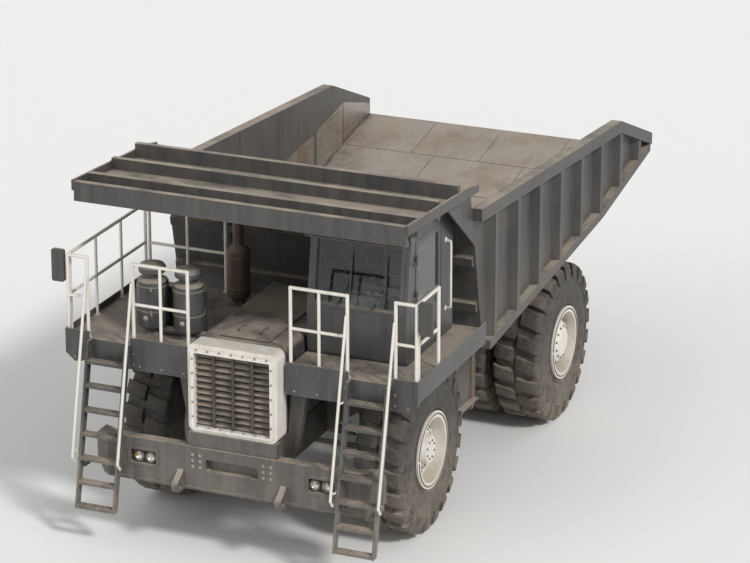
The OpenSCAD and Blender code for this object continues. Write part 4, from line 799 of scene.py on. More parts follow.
# Section of a lug: (place across the tyre, radius, half width along the tread)
LUG_SECTION = [
    (0.020, BASE_RADIUS - 0.03, 0.118), (0.020, TREAD_RADIUS - 0.004, 0.080), (0.150, TREAD_RADIUS, 0.088),
    (0.262, TREAD_RADIUS - 0.002, 0.096), (0.300, TREAD_RADIUS - 0.018, 0.096),
    (0.314, BASE_RADIUS - 0.010, 0.094), (HALF - 0.002, BASE_RADIUS - 0.090, 0.078),
    (HALF - 0.004, BASE_RADIUS - 0.150, 0.052), (HALF - 0.050, BASE_RADIUS - 0.120, 0.060)]
print("carcass points", len(carcass), "lug section points", len(LUG_SECTION))

# %% Build the lug template and the tyres
def lug_template():
    """Vertices and faces of one bevelled lug, at angle 0 on the +Z side of a tyre about Z."""
    bm = bmesh.new()
    sides = []
    for sign in (-1, 1):
        sides.append([
            bm.verts.new(polar(radius, (sign * half_width + LEAN * (across - 0.15)) / radius, across))
            for across, radius, half_width in LUG_SECTION])
    bm.faces.new(sides[0])
    bm.faces.new(sides[1][::-1])
    for i in range(len(LUG_SECTION)):
        j = (i + 1) % len(LUG_SECTION)
        bm.faces.new((sides[0][i], sides[1][i], sides[1][j], sides[0][j]))
    soften(bm, 0.011, segments=2, angle=28)
    bmesh.ops.triangulate(bm, faces=[f for f in bm.faces if len(f.verts) > 4])
    return as_template(bm)


def axle_frame(hub, side):
    """A frame at hub whose Z axis looks outboard, along +Y for side 1 and -Y for side -1."""
    return Matrix.Translation(hub) @ Matrix(((1, 0, 0, 0), (0, 0, side, 0), (0, -side, 0, 0), (0, 0, 0, 1)))


def tyre(bm, axle):
    turned(bm, carcass, axle, steps=132, closed=True)
    over = Matrix.Rotation(math.pi, 4, "X")
    pitch = math.tau / LUGS
    for i in range(LUGS):
        stamp(bm, LUG, axle @ Matrix.Rotation(i * pitch, 4, "Z"))
        stamp(bm, LUG, axle @ (Matrix.Rotation((i + 0.5) * pitch, 4, "Z") @ over))


LUG = lug_template()
for node_name, body, side, count in WHEELS:
    bm = bmesh.new()
    for k in range(count):
        shift = Vector((0, (k - (count - 1) / 2) * TWIN_STEP, 0))
        tyre(bm, axle_frame(box_middle(node_name) + shift, side))
    piece = add_piece(node_name + "_rubber", bm, "rubber", body)
    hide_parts(node_name)
    print(piece.name, len(piece.data.polygons), "faces")

# %% [markdown]
# ## Wheel hardware
# The solid model has the rims, discs and hubs. What is missing is everything that is bolted on: the
# ring of wheel nuts, the split lock ring that holds the rim's outer flange, the valve stem with its
# cap, and the bolts of the hub covers.

# %% Bolt up the wheels
def split_ring(bm, here, height, radius=RIM_RADIUS + 0.022, thick=0.010, gap=0.03, steps=96):
    """A lock ring that lies on the rim's flange, open over a small gap."""
    path = [here @ polar(radius, gap + (math.tau - 2 * gap) * i / steps, height) for i in range(steps + 1)]
    swept(bm, path, thick, sides=8)


def valve(bm, here, radius, height):
    """A bent stem with a cap that lies along the disc towards the hub."""
    path = [here @ Vector((radius + r, 0, height + h))
            for r, h in ((0, -0.02), (-0.01, 0.035), (-0.06, 0.05), (-0.13, 0.045))]
    swept(bm, smooth_path(path, steps=5), 0.006, sides=8)
    turned(bm, [(0, -0.004), (0.010, -0.004), (0.010, 0.022), (0.006, 0.028), (0, 0.028)],
           facing(path[-1], path[-1] - path[-2]), steps=12)
    turned(bm, [(0.0075, -0.012), (0.013, -0.012), (0.013, 0.0), (0.0075, 0.0)],
           facing(path[1], path[2] - path[1]), steps=10, closed=True)


# Rings of a front wheel and of a rear pair: (radius, height, count, head, tilt)
FRONT_RINGS = [(0.345, 0.138, 20, 0.021, 0.0), (0.246, 0.202, 16, 0.014, 0.0), (0.120, 0.300, 8, 0.012, 0.0)]
REAR_RINGS = [(0.372, 0.079, 24, 0.021, 0.0), (0.300, 0.602, 20, 0.015, 0.6), (0.215, 0.668, 12, 0.012, 0.3)]
for node_name, body, side, count in WHEELS:
    here = axle_frame(box_middle(node_name), side)
    bm = bmesh.new()
    for radius, height, bolts, head, tilt in FRONT_RINGS if count == 1 else REAR_RINGS:
        bolt_ring(bm, here, radius, bolts, head, height, start=math.pi / bolts, turn=1.7, tilt=tilt)
    if count == 1:
        split_ring(bm, here, HALF + 0.010)
        valve(bm, here, 0.395, 0.150)
    else:
        for middle in (-TWIN_STEP / 2, TWIN_STEP / 2):
            split_ring(bm, here, middle + HALF + 0.010)
        valve(bm, here, 0.400, TWIN_STEP / 2 + 0.05)
    add_piece(body + "_bolts", bm, "frame", body)
print("wheel hardware on", len(WHEELS), "wheels")

# %% [markdown]
# ## Driver's seat
# The solid model holds the seat as one plain solid, for its weight and collision. A driver's seat in
# such a cab has a foam cushion and back with sewn channels and piped edges, a headrest, folding
# armrests, and a base on a rubber bellows with air suspension inside. Foam under fabric swells until
# the fabric holds it, so each pad starts as a slightly smaller rounded block, is blown up by a short
# cloth simulation, and is then drawn in along its seams.

# %% Blow up a pad
VOXEL = 0.008
PRESSURE = 4
LAST_FRAME = 20


def evaluated(obj):
    return bpy.data.meshes.new_from_object(obj.evaluated_get(bpy.context.evaluated_depsgraph_get()))


def blown_pad(size, cap):
    """Mesh of a block of `size` about the origin, swollen under its fabric by at most cap metres."""
    bm = bmesh.new()
    cuboid(bm, [-s / 2 for s in size], [s / 2 for s in size])
    soften(bm, min(size) * 0.32, segments=4, angle=30)
    mesh = bpy.data.meshes.new("pad")
    bm.to_mesh(mesh)
    bm.free()
    pad = place_object("pad", mesh)
    remesh = pad.modifiers.new("voxels", "REMESH")
    remesh.mode = "VOXEL"
    remesh.voxel_size = VOXEL
    pad.data = evaluated(pad)
    pad.modifiers.clear()
    start = [v.co.copy() for v in pad.data.vertices]
    cloth = pad.modifiers.new("cloth", "CLOTH")
    cloth.settings.use_pressure = True
    cloth.settings.uniform_pressure_force = PRESSURE
    cloth.settings.effector_weights.gravity = 0
    for step in range(1, LAST_FRAME + 1):
        bpy.context.scene.frame_set(step)
    swollen = evaluated(pad)
    pad.modifiers.clear()
    bpy.context.scene.frame_set(1)
    for vertex, first, last in zip(pad.data.vertices, start, swollen.vertices):
        move = last.co - first
        vertex.co = first + move * min(1.0, cap / max(move.length, 1e-9))
    result = bmesh.new()
    result.from_mesh(pad.data)
    bpy.data.objects.remove(pad)
    return result


print("pad voxels", VOXEL)

# %% Sew the cushions
SEAT_FOOT = box_middle("cab_seat")
SEAT_FOOT.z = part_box("cab_seat")[0].z
SEAM_WIDTH, SEAM_DEPTH = 0.012, 0.016


def at_seat(x, y, z):
    return SEAT_FOOT + Vector((x, y, z))


def leaning(x, z, degrees):
    """A frame in the seat's middle plane, turned about the Y axis."""
    return Matrix.Translation(at_seat(x, 0, z)) @ Matrix.Rotation(math.radians(degrees), 4, "Y")


def cushion(name, size, matrix, seams, across, cap=0.012):
    """A pad with its Z side up, drawn in at the places `seams` along Y and at `across` along X."""
    bm = blown_pad([s - cap for s in size], cap)
    for vertex in bm.verts:
        p = vertex.co
        if p.z > 0:
            seam = sum(math.exp(-((p.y - s) / SEAM_WIDTH) ** 2) for s in seams)
            seam += sum(math.exp(-((p.x - s) / SEAM_WIDTH) ** 2) for s in across)
            p.z -= SEAM_DEPTH * min(seam, 1.2) * min(1.0, 2.4 * p.z / size[2])
        vertex.co = matrix @ p
    piece = add_piece(name, bm, "fabric", smooth=70)
    return piece


def piping(bm, size, matrix, height):
    """A piped edge round a pad, at height over its middle."""
    path = rounded_path(Z * height, X, Y, size[0] / 2, size[1] / 2, 0.05, steps=6)
    swept(bm, [matrix @ p for p in path], 0.005, sides=8, closed=True)


BASE_AT, BACK_AT, HEAD_AT = leaning(0.045, 0.385, -3), leaning(-0.215, 0.70, 83), leaning(-0.250, 1.015, 86)
base_pad = cushion("seat_cushion", (0.47, 0.49, 0.13), BASE_AT, (-0.135, 0.135), (0.09,))
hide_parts("cab_seat")
cushion("seat_back", (0.54, 0.47, 0.11), BACK_AT, (-0.125, 0.125), (-0.08, 0.08))
cushion("seat_headrest", (0.16, 0.26, 0.09), HEAD_AT, (), ())
bm = bmesh.new()
piping(bm, (0.455, 0.475), BASE_AT, 0.028)
piping(bm, (0.525, 0.455), BACK_AT, 0.024)
add_piece("seat_piping", bm, "plastic")
print("cushions at", [round(c, 2) for c in SEAT_FOOT])

# %% Build the seat's base and armrests
bm = bmesh.new()
cuboid(bm, at_seat(-0.15, -0.17, 0.0), at_seat(0.19, 0.17, 0.05))
cuboid(bm, at_seat(-0.18, -0.20, 0.265), at_seat(0.24, 0.20, 0.315))
for y in (-0.255, 0.255):
    prism(bm, oblong(0.025, 0.028), facing(at_seat(-0.19, y, 0.60), X), 0.30)
    swept(bm, [at_seat(-0.17, y, 0.60), at_seat(-0.20, y * 0.98, 0.46), at_seat(-0.16, y * 0.9, 0.34)], 0.013)
for y in (-0.05, 0.05):
    swept(bm, [at_seat(-0.225, y, 0.93), at_seat(-0.235, y, 1.0)], 0.007)
soften(bm, 0.008)
add_piece("seat_frame", bm, "plastic")

BELLOWS_TOP = (0.150, 0.265)
bm = bmesh.new()
folds = [(r, 0.052 + 0.036 * k + dz) for k in range(6) for r, dz in ((0.150, 0), (0.172, 0.018))]
bridge(bm, [[bm.verts.new(p) for p in rounded_path(at_seat(0.01, 0, z), X, Y, r, r, 0.05, steps=3)]
            for r, z in folds + [BELLOWS_TOP]])
add_piece("seat_bellows", bm, "hose")

# %% [markdown]
# ## Lamps
# A work lamp is a bright bowl behind a glass cover in a rubber ring, with the bulb in the middle. The
# solid model's lamps are closed solids of the right size, so these pieces replace them. Tail lamps
# and the slim indicators get coloured covers.

# %% Build the lamps
LAMP_LOW, LAMP_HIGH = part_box("lamps")
LAMP_Y, LAMP_Z, TAIL_Y, TAIL_Z = 1.210, 1.190, 0.430, 1.520
# Profiles: (radius as a share of the lamp's, place along its axis)
BOWL = [(0, -0.045), (0.35, -0.042), (0.7, -0.030), (0.9, -0.006), (0.93, 0)]
RING = [(0.90, -0.004), (0.90, 0.010), (1.02, 0.012), (1.08, 0.004), (1.08, -0.030), (0.98, -0.050),
        (0.94, -0.050), (0.94, -0.004)]
COVER = [(0, 0.010), (0.4, 0.009), (0.75, 0.006), (0.915, 0.002), (0.915, -0.002), (0.75, 0.002), (0, 0.006)]
BULB = [(0, -0.040), (0.010, -0.040), (0.012, -0.022), (0.008, -0.014), (0, -0.012)]


def lamp(parts, place, direction, radius, cover):
    here = facing(place, direction)
    for part, profile, steps in (("bowl", BOWL, 32), ("ring", RING, 40), (cover, COVER, 32)):
        turned(parts[part], [(share * radius, h) for share, h in profile], here, steps, closed=part == "ring")
    turned(parts["bulb"], BULB, here, steps=12)


LAMP_PIECES = {
    "ring": ("lamp_rings", "hose"), "bowl": ("lamp_bowls", "bright"), "bulb": ("lamp_bulbs", "bright"),
    "clear": ("lamp_covers", "lens"), "red": ("lamp_covers_red", "red_lens"),
    "amber": ("lamp_covers_amber", "amber_lens")}
parts = {k: bmesh.new() for k in LAMP_PIECES}
for side in (1, -1):
    for shift in (-0.095, 0.065):
        lamp(parts, (LAMP_HIGH.x - 0.014, side * (LAMP_Y + shift), LAMP_Z), X, 0.066, "clear")
    indicator = facing((LAMP_HIGH.x - 0.052, side * (LAMP_Y + 0.155), LAMP_Z), X)
    prism(parts["amber"], oblong(0.055, 0.009), indicator, 0.035)
    for z, cover in ((0.19, "red"), (0.29, "amber")):
        lamp(parts, (LAMP_LOW.x + 0.020, side * TAIL_Y, TAIL_Z + z), -X, 0.042, cover)
soften(parts["amber"], 0.003, angle=50)
for part, (name, finish) in LAMP_PIECES.items():
    piece = add_piece(name, parts[part], finish)
    if part == "ring":
        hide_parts("lamps")
print("lamps built on both ends")

# %% [markdown]
# ## Cab seals and wipers
# Window glass sits in a rubber channel that grips both the pane and the edge of the plate, and a
# thinner one runs round the doorway. Each is a tube along a rounded rectangle, given by its middle,
# two directions along it and its half sizes. The wipers stand parked on the windscreen: spindle,
# cranked arm, and a blade with its lip, held by thin links.

# %% Fit the window seals
WALL_Y = 1.970
SILL_X, SILL_Z = 3.612, 3.200
LEAN_BACK = 0.160
SCREEN_UP, SCREEN_OUT = Vector((-LEAN_BACK, 0, 1)).normalized(), Vector((1, 0, LEAN_BACK)).normalized()


def screen_x(z, depth=0.0):
    """Outer face of the windscreen at height z, moved forward by depth."""
    return SILL_X + depth - LEAN_BACK * (z - SILL_Z)


def seal(bm, middle, across, up, half_w, half_h, corner, thick):
    swept(bm, rounded_path(Vector(middle), across, up, half_w, half_h, corner), thick, sides=8, closed=True)


bm = bmesh.new()
seal(bm, (screen_x(3.645, -0.004), 1.310, 3.645), Y, SCREEN_UP, 0.560, 0.410, 0.045, 0.013)
seal(bm, (2.156, 1.310, 3.630), Y, Z, 0.480, 0.370, 0.050, 0.013)
seal(bm, (2.820, 0.676, 3.630), X, Z, 0.490, 0.370, 0.050, 0.013)
seal(bm, (2.940, WALL_Y - 0.002, 3.370), X, Z, 0.413, 0.723, 0.052, 0.009)
add_piece("cab_seals", bm, "hose", smooth=60)
bm = bmesh.new()
pane, size = box_middle("door_glass"), box_size("door_glass")
seal(bm, pane, X, Z, size.x / 2, size.z / 2, 0.045, 0.012)
add_piece("door_seal", bm, "hose", "cab_door", smooth=60)
print("door pane", [round(v, 3) for v in pane], [round(v, 3) for v in size])

# %% Park the wipers
WIPER_LEAN, WIPER_REACH, BLADE = math.radians(24), 0.42, 0.62
along = (Y * math.sin(WIPER_LEAN) + SCREEN_UP * math.cos(WIPER_LEAN)).normalized()
side_way = SCREEN_OUT.cross(SCREEN_UP).normalized()
bm = bmesh.new()
for pivot_y in (1.040, 1.500):
    base = Vector((screen_x(3.225, 0.010), pivot_y, 3.225))
    turned(bm, [(0, 0.030), (0.012, 0.028), (0.020, 0.018), (0.024, -0.020), (0, -0.020)],
           facing(base, SCREEN_OUT), steps=16)
    elbow = base + along * 0.11 + SCREEN_OUT * 0.022
    tip = base + along * WIPER_REACH + SCREEN_OUT * 0.016
    swept(bm, [base + SCREEN_OUT * 0.016, elbow], 0.011, sides=8)
    swept(bm, [elbow, elbow + along * 0.06, tip], 0.006, sides=8)
    here = framed(tip - SCREEN_UP * BLADE / 2 - SCREEN_OUT * 0.008, side_way, SCREEN_OUT, SCREEN_UP)
    for low, half, high in ((0.004, 0.007, 0.014), (-0.002, 0.002, 0.005)):
        prism(bm, [(-half, low), (half, low), (half, high), (-half, high)], here, BLADE)
    for k in (-0.2, 0.0, 0.2):
        swept(bm, [tip + SCREEN_UP * k - SCREEN_OUT * 0.004, tip + SCREEN_UP * (k / 2) + SCREEN_OUT * 0.012],
              0.004, sides=6)
add_piece("wipers", bm, "plastic")
print("wipers parked")

# %% [markdown]
# ## Door handle, grab rails and mirror panes
# The door has a paddle handle at its rear edge and a pull on its inner side, and both ride with the
# door. A long grab rail stands beside the doorway. Mirror panes are thin plates of bright metal.

# %% Fit the handle, the grab rails and the mirrors
GRAB_X = 2.360
# Rails along the wall: (distance off it, height)
PULL = [(-0.060, 2.95), (-0.10, 2.97), (-0.115, 3.05), (-0.115, 3.15), (-0.10, 3.22), (-0.060, 3.235)]
GRAB = [(-0.01, 2.900), (0.050, 2.915), (0.066, 2.960), (0.066, 3.300), (0.066, 3.740), (0.050, 3.785),
        (-0.01, 3.800)]
bm = bmesh.new()
cuboid(bm, (2.585, WALL_Y - 0.004, 3.075), (2.735, WALL_Y + 0.008, 3.185))
cuboid(bm, (2.600, WALL_Y + 0.004, 3.110), (2.705, WALL_Y + 0.024, 3.140))
soften(bm, 0.006)
turned(bm, [(0, 0.014), (0.011, 0.014), (0.013, 0.0)], facing((2.718, WALL_Y + 0.006, 3.125), Y), steps=16)
add_piece("door_handle", bm, "plastic", "cab_door")
bm = bmesh.new()
swept(bm, smooth_path([(3.240, WALL_Y + off, z) for off, z in PULL], steps=5), 0.014)
add_piece("door_pull", bm, "plastic", "cab_door")

bm = bmesh.new()
swept(bm, smooth_path([(GRAB_X, WALL_Y + off, z) for off, z in GRAB], steps=4), 0.015, sides=12)
for z in (GRAB[0][1], GRAB[-1][1]):
    turned(bm, [(0, 0.006), (0.030, 0.006), (0.036, 0.0)], facing((GRAB_X, WALL_Y, z), Y), steps=20)
    bolt_ring(bm, framed((GRAB_X, WALL_Y + 0.006, z), X, Z, Y), 0.023, 4, 0.005, start=math.pi / 4, turn=0.0)
add_piece("cab_grab_rail", bm, "white")

MIRROR_LOW, MIRROR_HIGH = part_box("mirrors")
bm = bmesh.new()
for side in (1, -1):
    place = (MIRROR_LOW.x + 0.012, side * (MIRROR_HIGH.y - 0.085), MIRROR_HIGH.z - 0.21)
    prism(bm, rounded_outline(0.062, 0.185, 0.02, steps=4), framed(place, -Y, Z, -X), 0.006)
add_piece("mirror_panes", bm, "bright")
print("door and mirrors done")

# %% [markdown]
# ## Cab controls
# Through the glass one sees the instruments. The cluster has three round gauges with bezels and a row
# of switches, a small monitor stands on the pillar side, the hoist and shift levers have knobs over
# folded boots, and two pedals hang under the dashboard.

# %% Fit gauges, levers and pedals
DASH_X, DASH_Z, LEVER_Y, LEVER_FOOT = 3.345, 3.285, 1.640, 3.02
bm = bmesh.new()
bright = bmesh.new()
for k, radius in ((-1, 0.048), (0, 0.060), (1, 0.048)):
    spot = facing((DASH_X - 0.018, SEAT_FOOT.y + 0.145 * k, DASH_Z), (-1, 0, 0.35))
    turned(bright, [(radius, 0.0), (radius + 0.008, 0.0), (radius + 0.008, 0.012), (radius, 0.014)], spot,
           steps=28, closed=True)
    turned(bm, [(0, 0.004), (radius, 0.004), (radius, -0.006)], spot, steps=28)
for k in range(8):
    cuboid(bm, (3.300, 0.790 + 0.045 * k, 3.208), (3.318, 0.820 + 0.045 * k, 3.238))
cuboid(bm, (3.360, 1.650, 3.220), (3.400, 1.860, 3.360))
for x, tilt, height in ((2.95, 0.05, 3.22), (2.78, -0.03, 3.20)):
    foot, head = Vector((x, LEVER_Y, LEVER_FOOT)), Vector((x + tilt, LEVER_Y, height))
    turned(bm, [(0.045, 0.0), (0.040, 0.012), (0.034, 0.012), (0.030, 0.026), (0.024, 0.026), (0.018, 0.045),
                (0.008, 0.05)], facing(foot, head - foot), steps=20)
    swept(bm, [foot, head], 0.008)
    turned(bm, [(0, -0.03), (0.014, -0.03), (0.024, 0.0), (0.022, 0.022), (0, 0.034)],
           facing(head, head - foot), steps=18)
for y in (SEAT_FOOT.y - 0.16, SEAT_FOOT.y + 0.14):
    prism(bm, oblong(0.06, 0.045), facing((3.13, y, 2.72), (-1, 0, 0.7)), 0.018)
    swept(bm, [(3.14, y, 2.74), (3.22, y, 2.86), (3.28, y, 3.0)], 0.010)
soften(bm, 0.003, angle=50)
add_piece("cab_controls", bm, "plastic")
add_piece("gauge_bezels", bright, "bright")
print("controls done")

# %% [markdown]
# ## Radiator and bonnet
# Behind the slats stands the radiator core: flat upright tubes with thin fins folded between them.
# The surround is bolted on through its rim. The bonnet is held by rubber latches and has hinges at
# its rear edge and two lifting handles.

# %% Build the radiator core
GRILLE_LOW, GRILLE_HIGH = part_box("grille")
CORE_X = GRILLE_LOW.x - 0.030
TUBE_STEP, FOLD_STEP = 0.030, 0.010
tube_count = int((GRILLE_HIGH.y - GRILLE_LOW.y) / TUBE_STEP)
fold_count = int((GRILLE_HIGH.z - GRILLE_LOW.z - 0.02) / FOLD_STEP)
bm = bmesh.new()
cuboid(bm, (CORE_X - 0.055, GRILLE_LOW.y + 0.004, GRILLE_LOW.z + 0.004),
       (CORE_X - 0.045, GRILLE_HIGH.y - 0.004, GRILLE_HIGH.z - 0.004))
for i in range(tube_count):
    y = GRILLE_LOW.y + (i + 0.5) * TUBE_STEP
    cuboid(bm, (CORE_X - 0.05, y - 0.003, GRILLE_LOW.z + 0.006), (CORE_X, y + 0.003, GRILLE_HIGH.z - 0.006))
    zigzag = []
    for k in range(fold_count):
        across = y + TUBE_STEP / 2 + (0.011 if k % 2 else -0.011)
        z = GRILLE_LOW.z + 0.01 + FOLD_STEP * k
        zigzag.append([bm.verts.new((x, across, z)) for x in (CORE_X - 0.045, CORE_X - 0.006)])
    for low, high in zip(zigzag, zigzag[1:]):
        bm.faces.new((low[0], low[1], high[1], high[0]))
add_piece("radiator_core", bm, "frame", smooth=30)
print("core tubes", tube_count)

# %% Bolt the surround and fit the latches
RADIATOR_LOW, RADIATOR_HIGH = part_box("radiator")
middle = Vector((RADIATOR_HIGH.x, 0, (RADIATOR_LOW.z + RADIATOR_HIGH.z) / 2 + 0.012))
half_w = 0.530
half_h = (RADIATOR_HIGH.z - RADIATOR_LOW.z) / 2 - 0.078
bm = bmesh.new()
for k in range(-3, 4):
    for side in (1, -1):
        bolt(bm, middle + Vector((0, 0.158 * k, side * half_h)), X, 0.011, spin=0.3 * k)
for k in range(-2, 3):
    for side in (1, -1):
        bolt(bm, middle + Vector((0, side * half_w, 0.19 * k)), X, 0.011, spin=0.2 * k)
add_piece("surround_bolts", bm, "zinc")

HOOD_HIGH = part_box("hood")[1]
bm = bmesh.new()
metal = bmesh.new()
for side in (1, -1):
    for x in (3.98, 3.45, 2.30):
        foot = Vector((x, side * (HOOD_HIGH.y + 0.002), 2.33))
        prism(metal, rounded_outline(0.028, 0.036, 0.008, steps=2), facing(foot, side * Y), 0.005)
        out = foot + Y * side * 0.022
        swept(bm, [foot + Vector((0, side * 0.006, 0.030)), out + Z * 0.060, out + Z * 0.125], 0.009, sides=8)
        swept(bm, [out + Vector((-0.030, 0, 0.130)), out + Vector((0.030, 0, 0.130))], 0.011, sides=8)
        for dz in (-0.026, 0.012):
            for dx in (-0.019, 0.019):
                bolt(metal, foot + Vector((dx, side * 0.004, dz)), side * Y, 0.005)
add_piece("bonnet_latches", bm, "hose")
add_piece("latch_plates", metal, "zinc")

HINGE_X = 2.115
# A lifting handle: (place along the truck, height over the hinges)
HANDLE = [(3.70, 0.022), (3.70, 0.058), (3.72, 0.068), (3.86, 0.068), (3.88, 0.058), (3.88, 0.022)]
top = HOOD_HIGH.z - 0.022
bm = bmesh.new()
for y in (-0.45, 0.45):
    swept(bm, [(HINGE_X, y - 0.07, top + 0.012), (HINGE_X, y + 0.07, top + 0.012)], 0.012, sides=12)
    cuboid(bm, (HINGE_X, y - 0.06, top - 0.001), (HINGE_X + 0.09, y + 0.06, top + 0.006))
    for dx, dy in ((0.04, -0.04), (0.04, 0.04), (0.075, 0.0)):
        bolt(bm, (HINGE_X + dx, y + dy, top + 0.006), Z, 0.007)
for y in (-0.15, 0.15):
    swept(bm, smooth_path([(x, y, top + up) for x, up in HANDLE], steps=3), 0.009, sides=8)
add_piece("bonnet_fittings", bm, "charcoal")
print("bonnet fittings done")

# %% [markdown]
# ## Tread pattern
# Everything that is walked on is chequer plate: short raised bars that lie in turn along two
# diagonals. One bar is stamped over the free parts of the decks, the bumper's top and the bonnet's
# panel, so the pattern's scale stays right in close views.

# %% Stamp the tread bars
TREAD_PITCH = 0.062
BAR_OUTLINE = [(-0.021, 0), (-0.010, 0.0055), (0.010, 0.0055), (0.021, 0), (0.010, -0.0055),
               (-0.010, -0.0055)]


def tread_template():
    bm = bmesh.new()
    low = [bm.verts.new((x, y, -0.001)) for x, y in BAR_OUTLINE]
    high = [bm.verts.new((x * 0.8, y * 0.55, 0.0028)) for x, y in BAR_OUTLINE]
    bm.faces.new(high)
    bridge(bm, [low, high])
    return as_template(bm)


def tread_area(bm, low, high, z, keep_out):
    """Bars over low..high at height z, apart from the boxes (x0, y0, x1, y1) in keep_out."""
    across = int((high[0] - low[0]) / TREAD_PITCH)
    along = int((high[1] - low[1]) / TREAD_PITCH)
    made = 0
    for i in range(across):
        for j in range(along):
            x = low[0] + (i + 0.5) * (high[0] - low[0]) / across
            y = low[1] + (j + 0.5) * (high[1] - low[1]) / along
            if any(x0 - 0.03 < x < x1 + 0.03 and y0 - 0.03 < y < y1 + 0.03 for x0, y0, x1, y1 in keep_out):
                continue
            turn = math.pi / 4 if (i + j) % 2 else -math.pi / 4
            stamp(bm, BAR, Matrix.Translation((x, y, z)) @ Matrix.Rotation(turn, 4, "Z"))
            made += 1
    return made


BAR = tread_template()
DECK_FRONT, DECK_TOP, BUMPER_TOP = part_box("deck")[1].x, 2.560, 1.430
CAB_BOX = (2.10, 0.64, 3.64, 1.98)
CLEANER_BOX, EXHAUST_BOX = (3.50, -1.62, 3.97, -0.68), (2.26, -0.99, 2.52, -0.73)
bm = bmesh.new()
bars = tread_area(bm, (2.03, 0.64), (4.21, 2.34), DECK_TOP, [CAB_BOX])
bars += tread_area(bm, (2.03, -2.34), (4.21, -0.64), DECK_TOP, [CLEANER_BOX, EXHAUST_BOX])
add_piece("deck_tread", bm, "charcoal", smooth=20)
bm = bmesh.new()
bars += tread_area(bm, (4.31, -1.44), (4.44, 1.44), BUMPER_TOP, [(4.2, -0.61, 4.5, 0.61)])
bars += tread_area(bm, (2.30, -0.30), (4.04, 0.30), HOOD_HIGH.z, [(3.66, -0.2, 3.92, 0.2)])
add_piece("walkway_tread", bm, "charcoal", smooth=20)
print("tread bars", bars)

# %% [markdown]
# ## Ladder treads
# The treads of both front ladders are plates with rows of punched, raised teeth.

# %% Punch the teeth
LADDER_Y, LADDER_WIDTH = 1.510, 0.490
# Middle of the ladder's slope: (height, x)
LADDER_LINE = [(0.505, 4.750), (2.585, 4.305)]
STEP_HEIGHTS = [0.525 + 0.3 * i for i in range(7)]
TOOTH = [(0.0125, -0.001), (0.0095, 0.0055), (0.0065, 0.0055), (0.0055, -0.001)]
bm = bmesh.new()
for side in (1, -1):
    for z in STEP_HEIGHTS:
        x = on_line(LADDER_LINE, z) - 0.043
        for i in range(4):
            for j in range(11):
                spot = (x + 0.027 * i, side * (LADDER_Y + 0.030 + 0.043 * j), z)
                turned(bm, TOOTH, Matrix.Translation(spot), steps=8)
add_piece("ladder_teeth", bm, "frame", smooth=40)
print("ladder treads", len(STEP_HEIGHTS) * 2)

# %% [markdown]
# ## Body: welds and liner
# A rock body is welded from thick plate. Wear plates line its floor with open seams between them, and
# short beads stitch these seams. Fillet welds run along every rib, along the rails, and along the bars
# of the headboard and the canopy.
# A weld bead is a low round ridge with overlapping ripples, so its tube's radius swells and shrinks
# along the path.

# %% Run the weld beads
BED_FRONT, BED_TAIL, FLOOR_FRONT_Z = 1.450, -4.800, 2.100
# Lines of the body seen from its side: (x, height)
FLOOR_LINE = [(BED_TAIL, 2.900), (-2.800, 2.520), (BED_FRONT, FLOOR_FRONT_Z)]
SIDE_TOP_LINE = [(BED_TAIL, 3.140), (-3.450, 3.700), (1.930, 4.080)]
CANOPY_LINE = [(1.930, 4.355), (4.240, 4.500)]
# Front face of the headboard: (height, x)
HEAD_LINE = [(2.070, 1.475), (4.330, 1.955)]


def floor_z(x):
    """Top of the load floor at x."""
    return on_line(FLOOR_LINE, x)


def bead(bm, start, end, radius=0.008, ripple=0.022):
    """A weld bead from start to end, with a ripple every `ripple` metres."""
    start, end = Vector(start), Vector(end)
    along = end - start
    count = 2 * max(2, int(along.length / ripple))
    side = along.cross(Vector((0.31, 0.57, 0.76))).normalized()
    up = along.normalized().cross(side)
    bridge(bm, [ring(bm, start + along * i / count, radius * (1.12 if i % 2 else 0.86), side, up, 5)
                for i in range(count + 1)])


RIB_FOOT = 0.080
PLATE_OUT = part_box("bed_side_left")[1].y - 0.125
RIB_X = [1.280 - 0.8 * i for i in range(8)]


def foot_seam(x):
    return floor_z(x) + 0.092


def rail_seam(x):
    return on_line(SIDE_TOP_LINE, x) - 0.172


bays = [BED_FRONT] + RIB_X + [BED_TAIL]
bm = bmesh.new()
for side in (1, -1):
    y = side * PLATE_OUT
    for x in [rib + edge for rib in RIB_X for edge in (-RIB_FOOT, RIB_FOOT)]:
        bead(bm, (x, y, foot_seam(x)), (x, y, rail_seam(x)))
    for x0, x1 in zip(bays, bays[1:]):
        a = x0 - (RIB_FOOT if x0 in RIB_X else 0.04)
        b = x1 + (RIB_FOOT if x1 in RIB_X else 0.04)
        for seam in (rail_seam, foot_seam):
            bead(bm, (a, y, seam(a)), (b, y, seam(b)))
add_piece("side_welds", bm, "weld", "dump_bed", smooth=80)
print("ribs", len(RIB_X), "plate at y", round(PLATE_OUT, 3))

# %% Line the floor
LINER_T, LINER_GAP, LINER_HALF, SUNK = 0.010, 0.018, 2.070, 0.004
# Rows from the front to the tail: (start, end, strips side by side)
LINER_ROWS = [(1.40, 0.35, 3), (0.35, -0.70, 4), (-0.70, -1.75, 3), (-1.75, -2.76, 4), (-2.84, -3.80, 3),
              (-3.80, -4.77, 4)]


def wear_plate(bm, low, high):
    """A thin plate between four points and the four over them, without the face that lies on the wall."""
    low, high = ([bm.verts.new(p) for p in points] for points in (low, high))
    bm.faces.new(high)
    bridge(bm, [high, low])


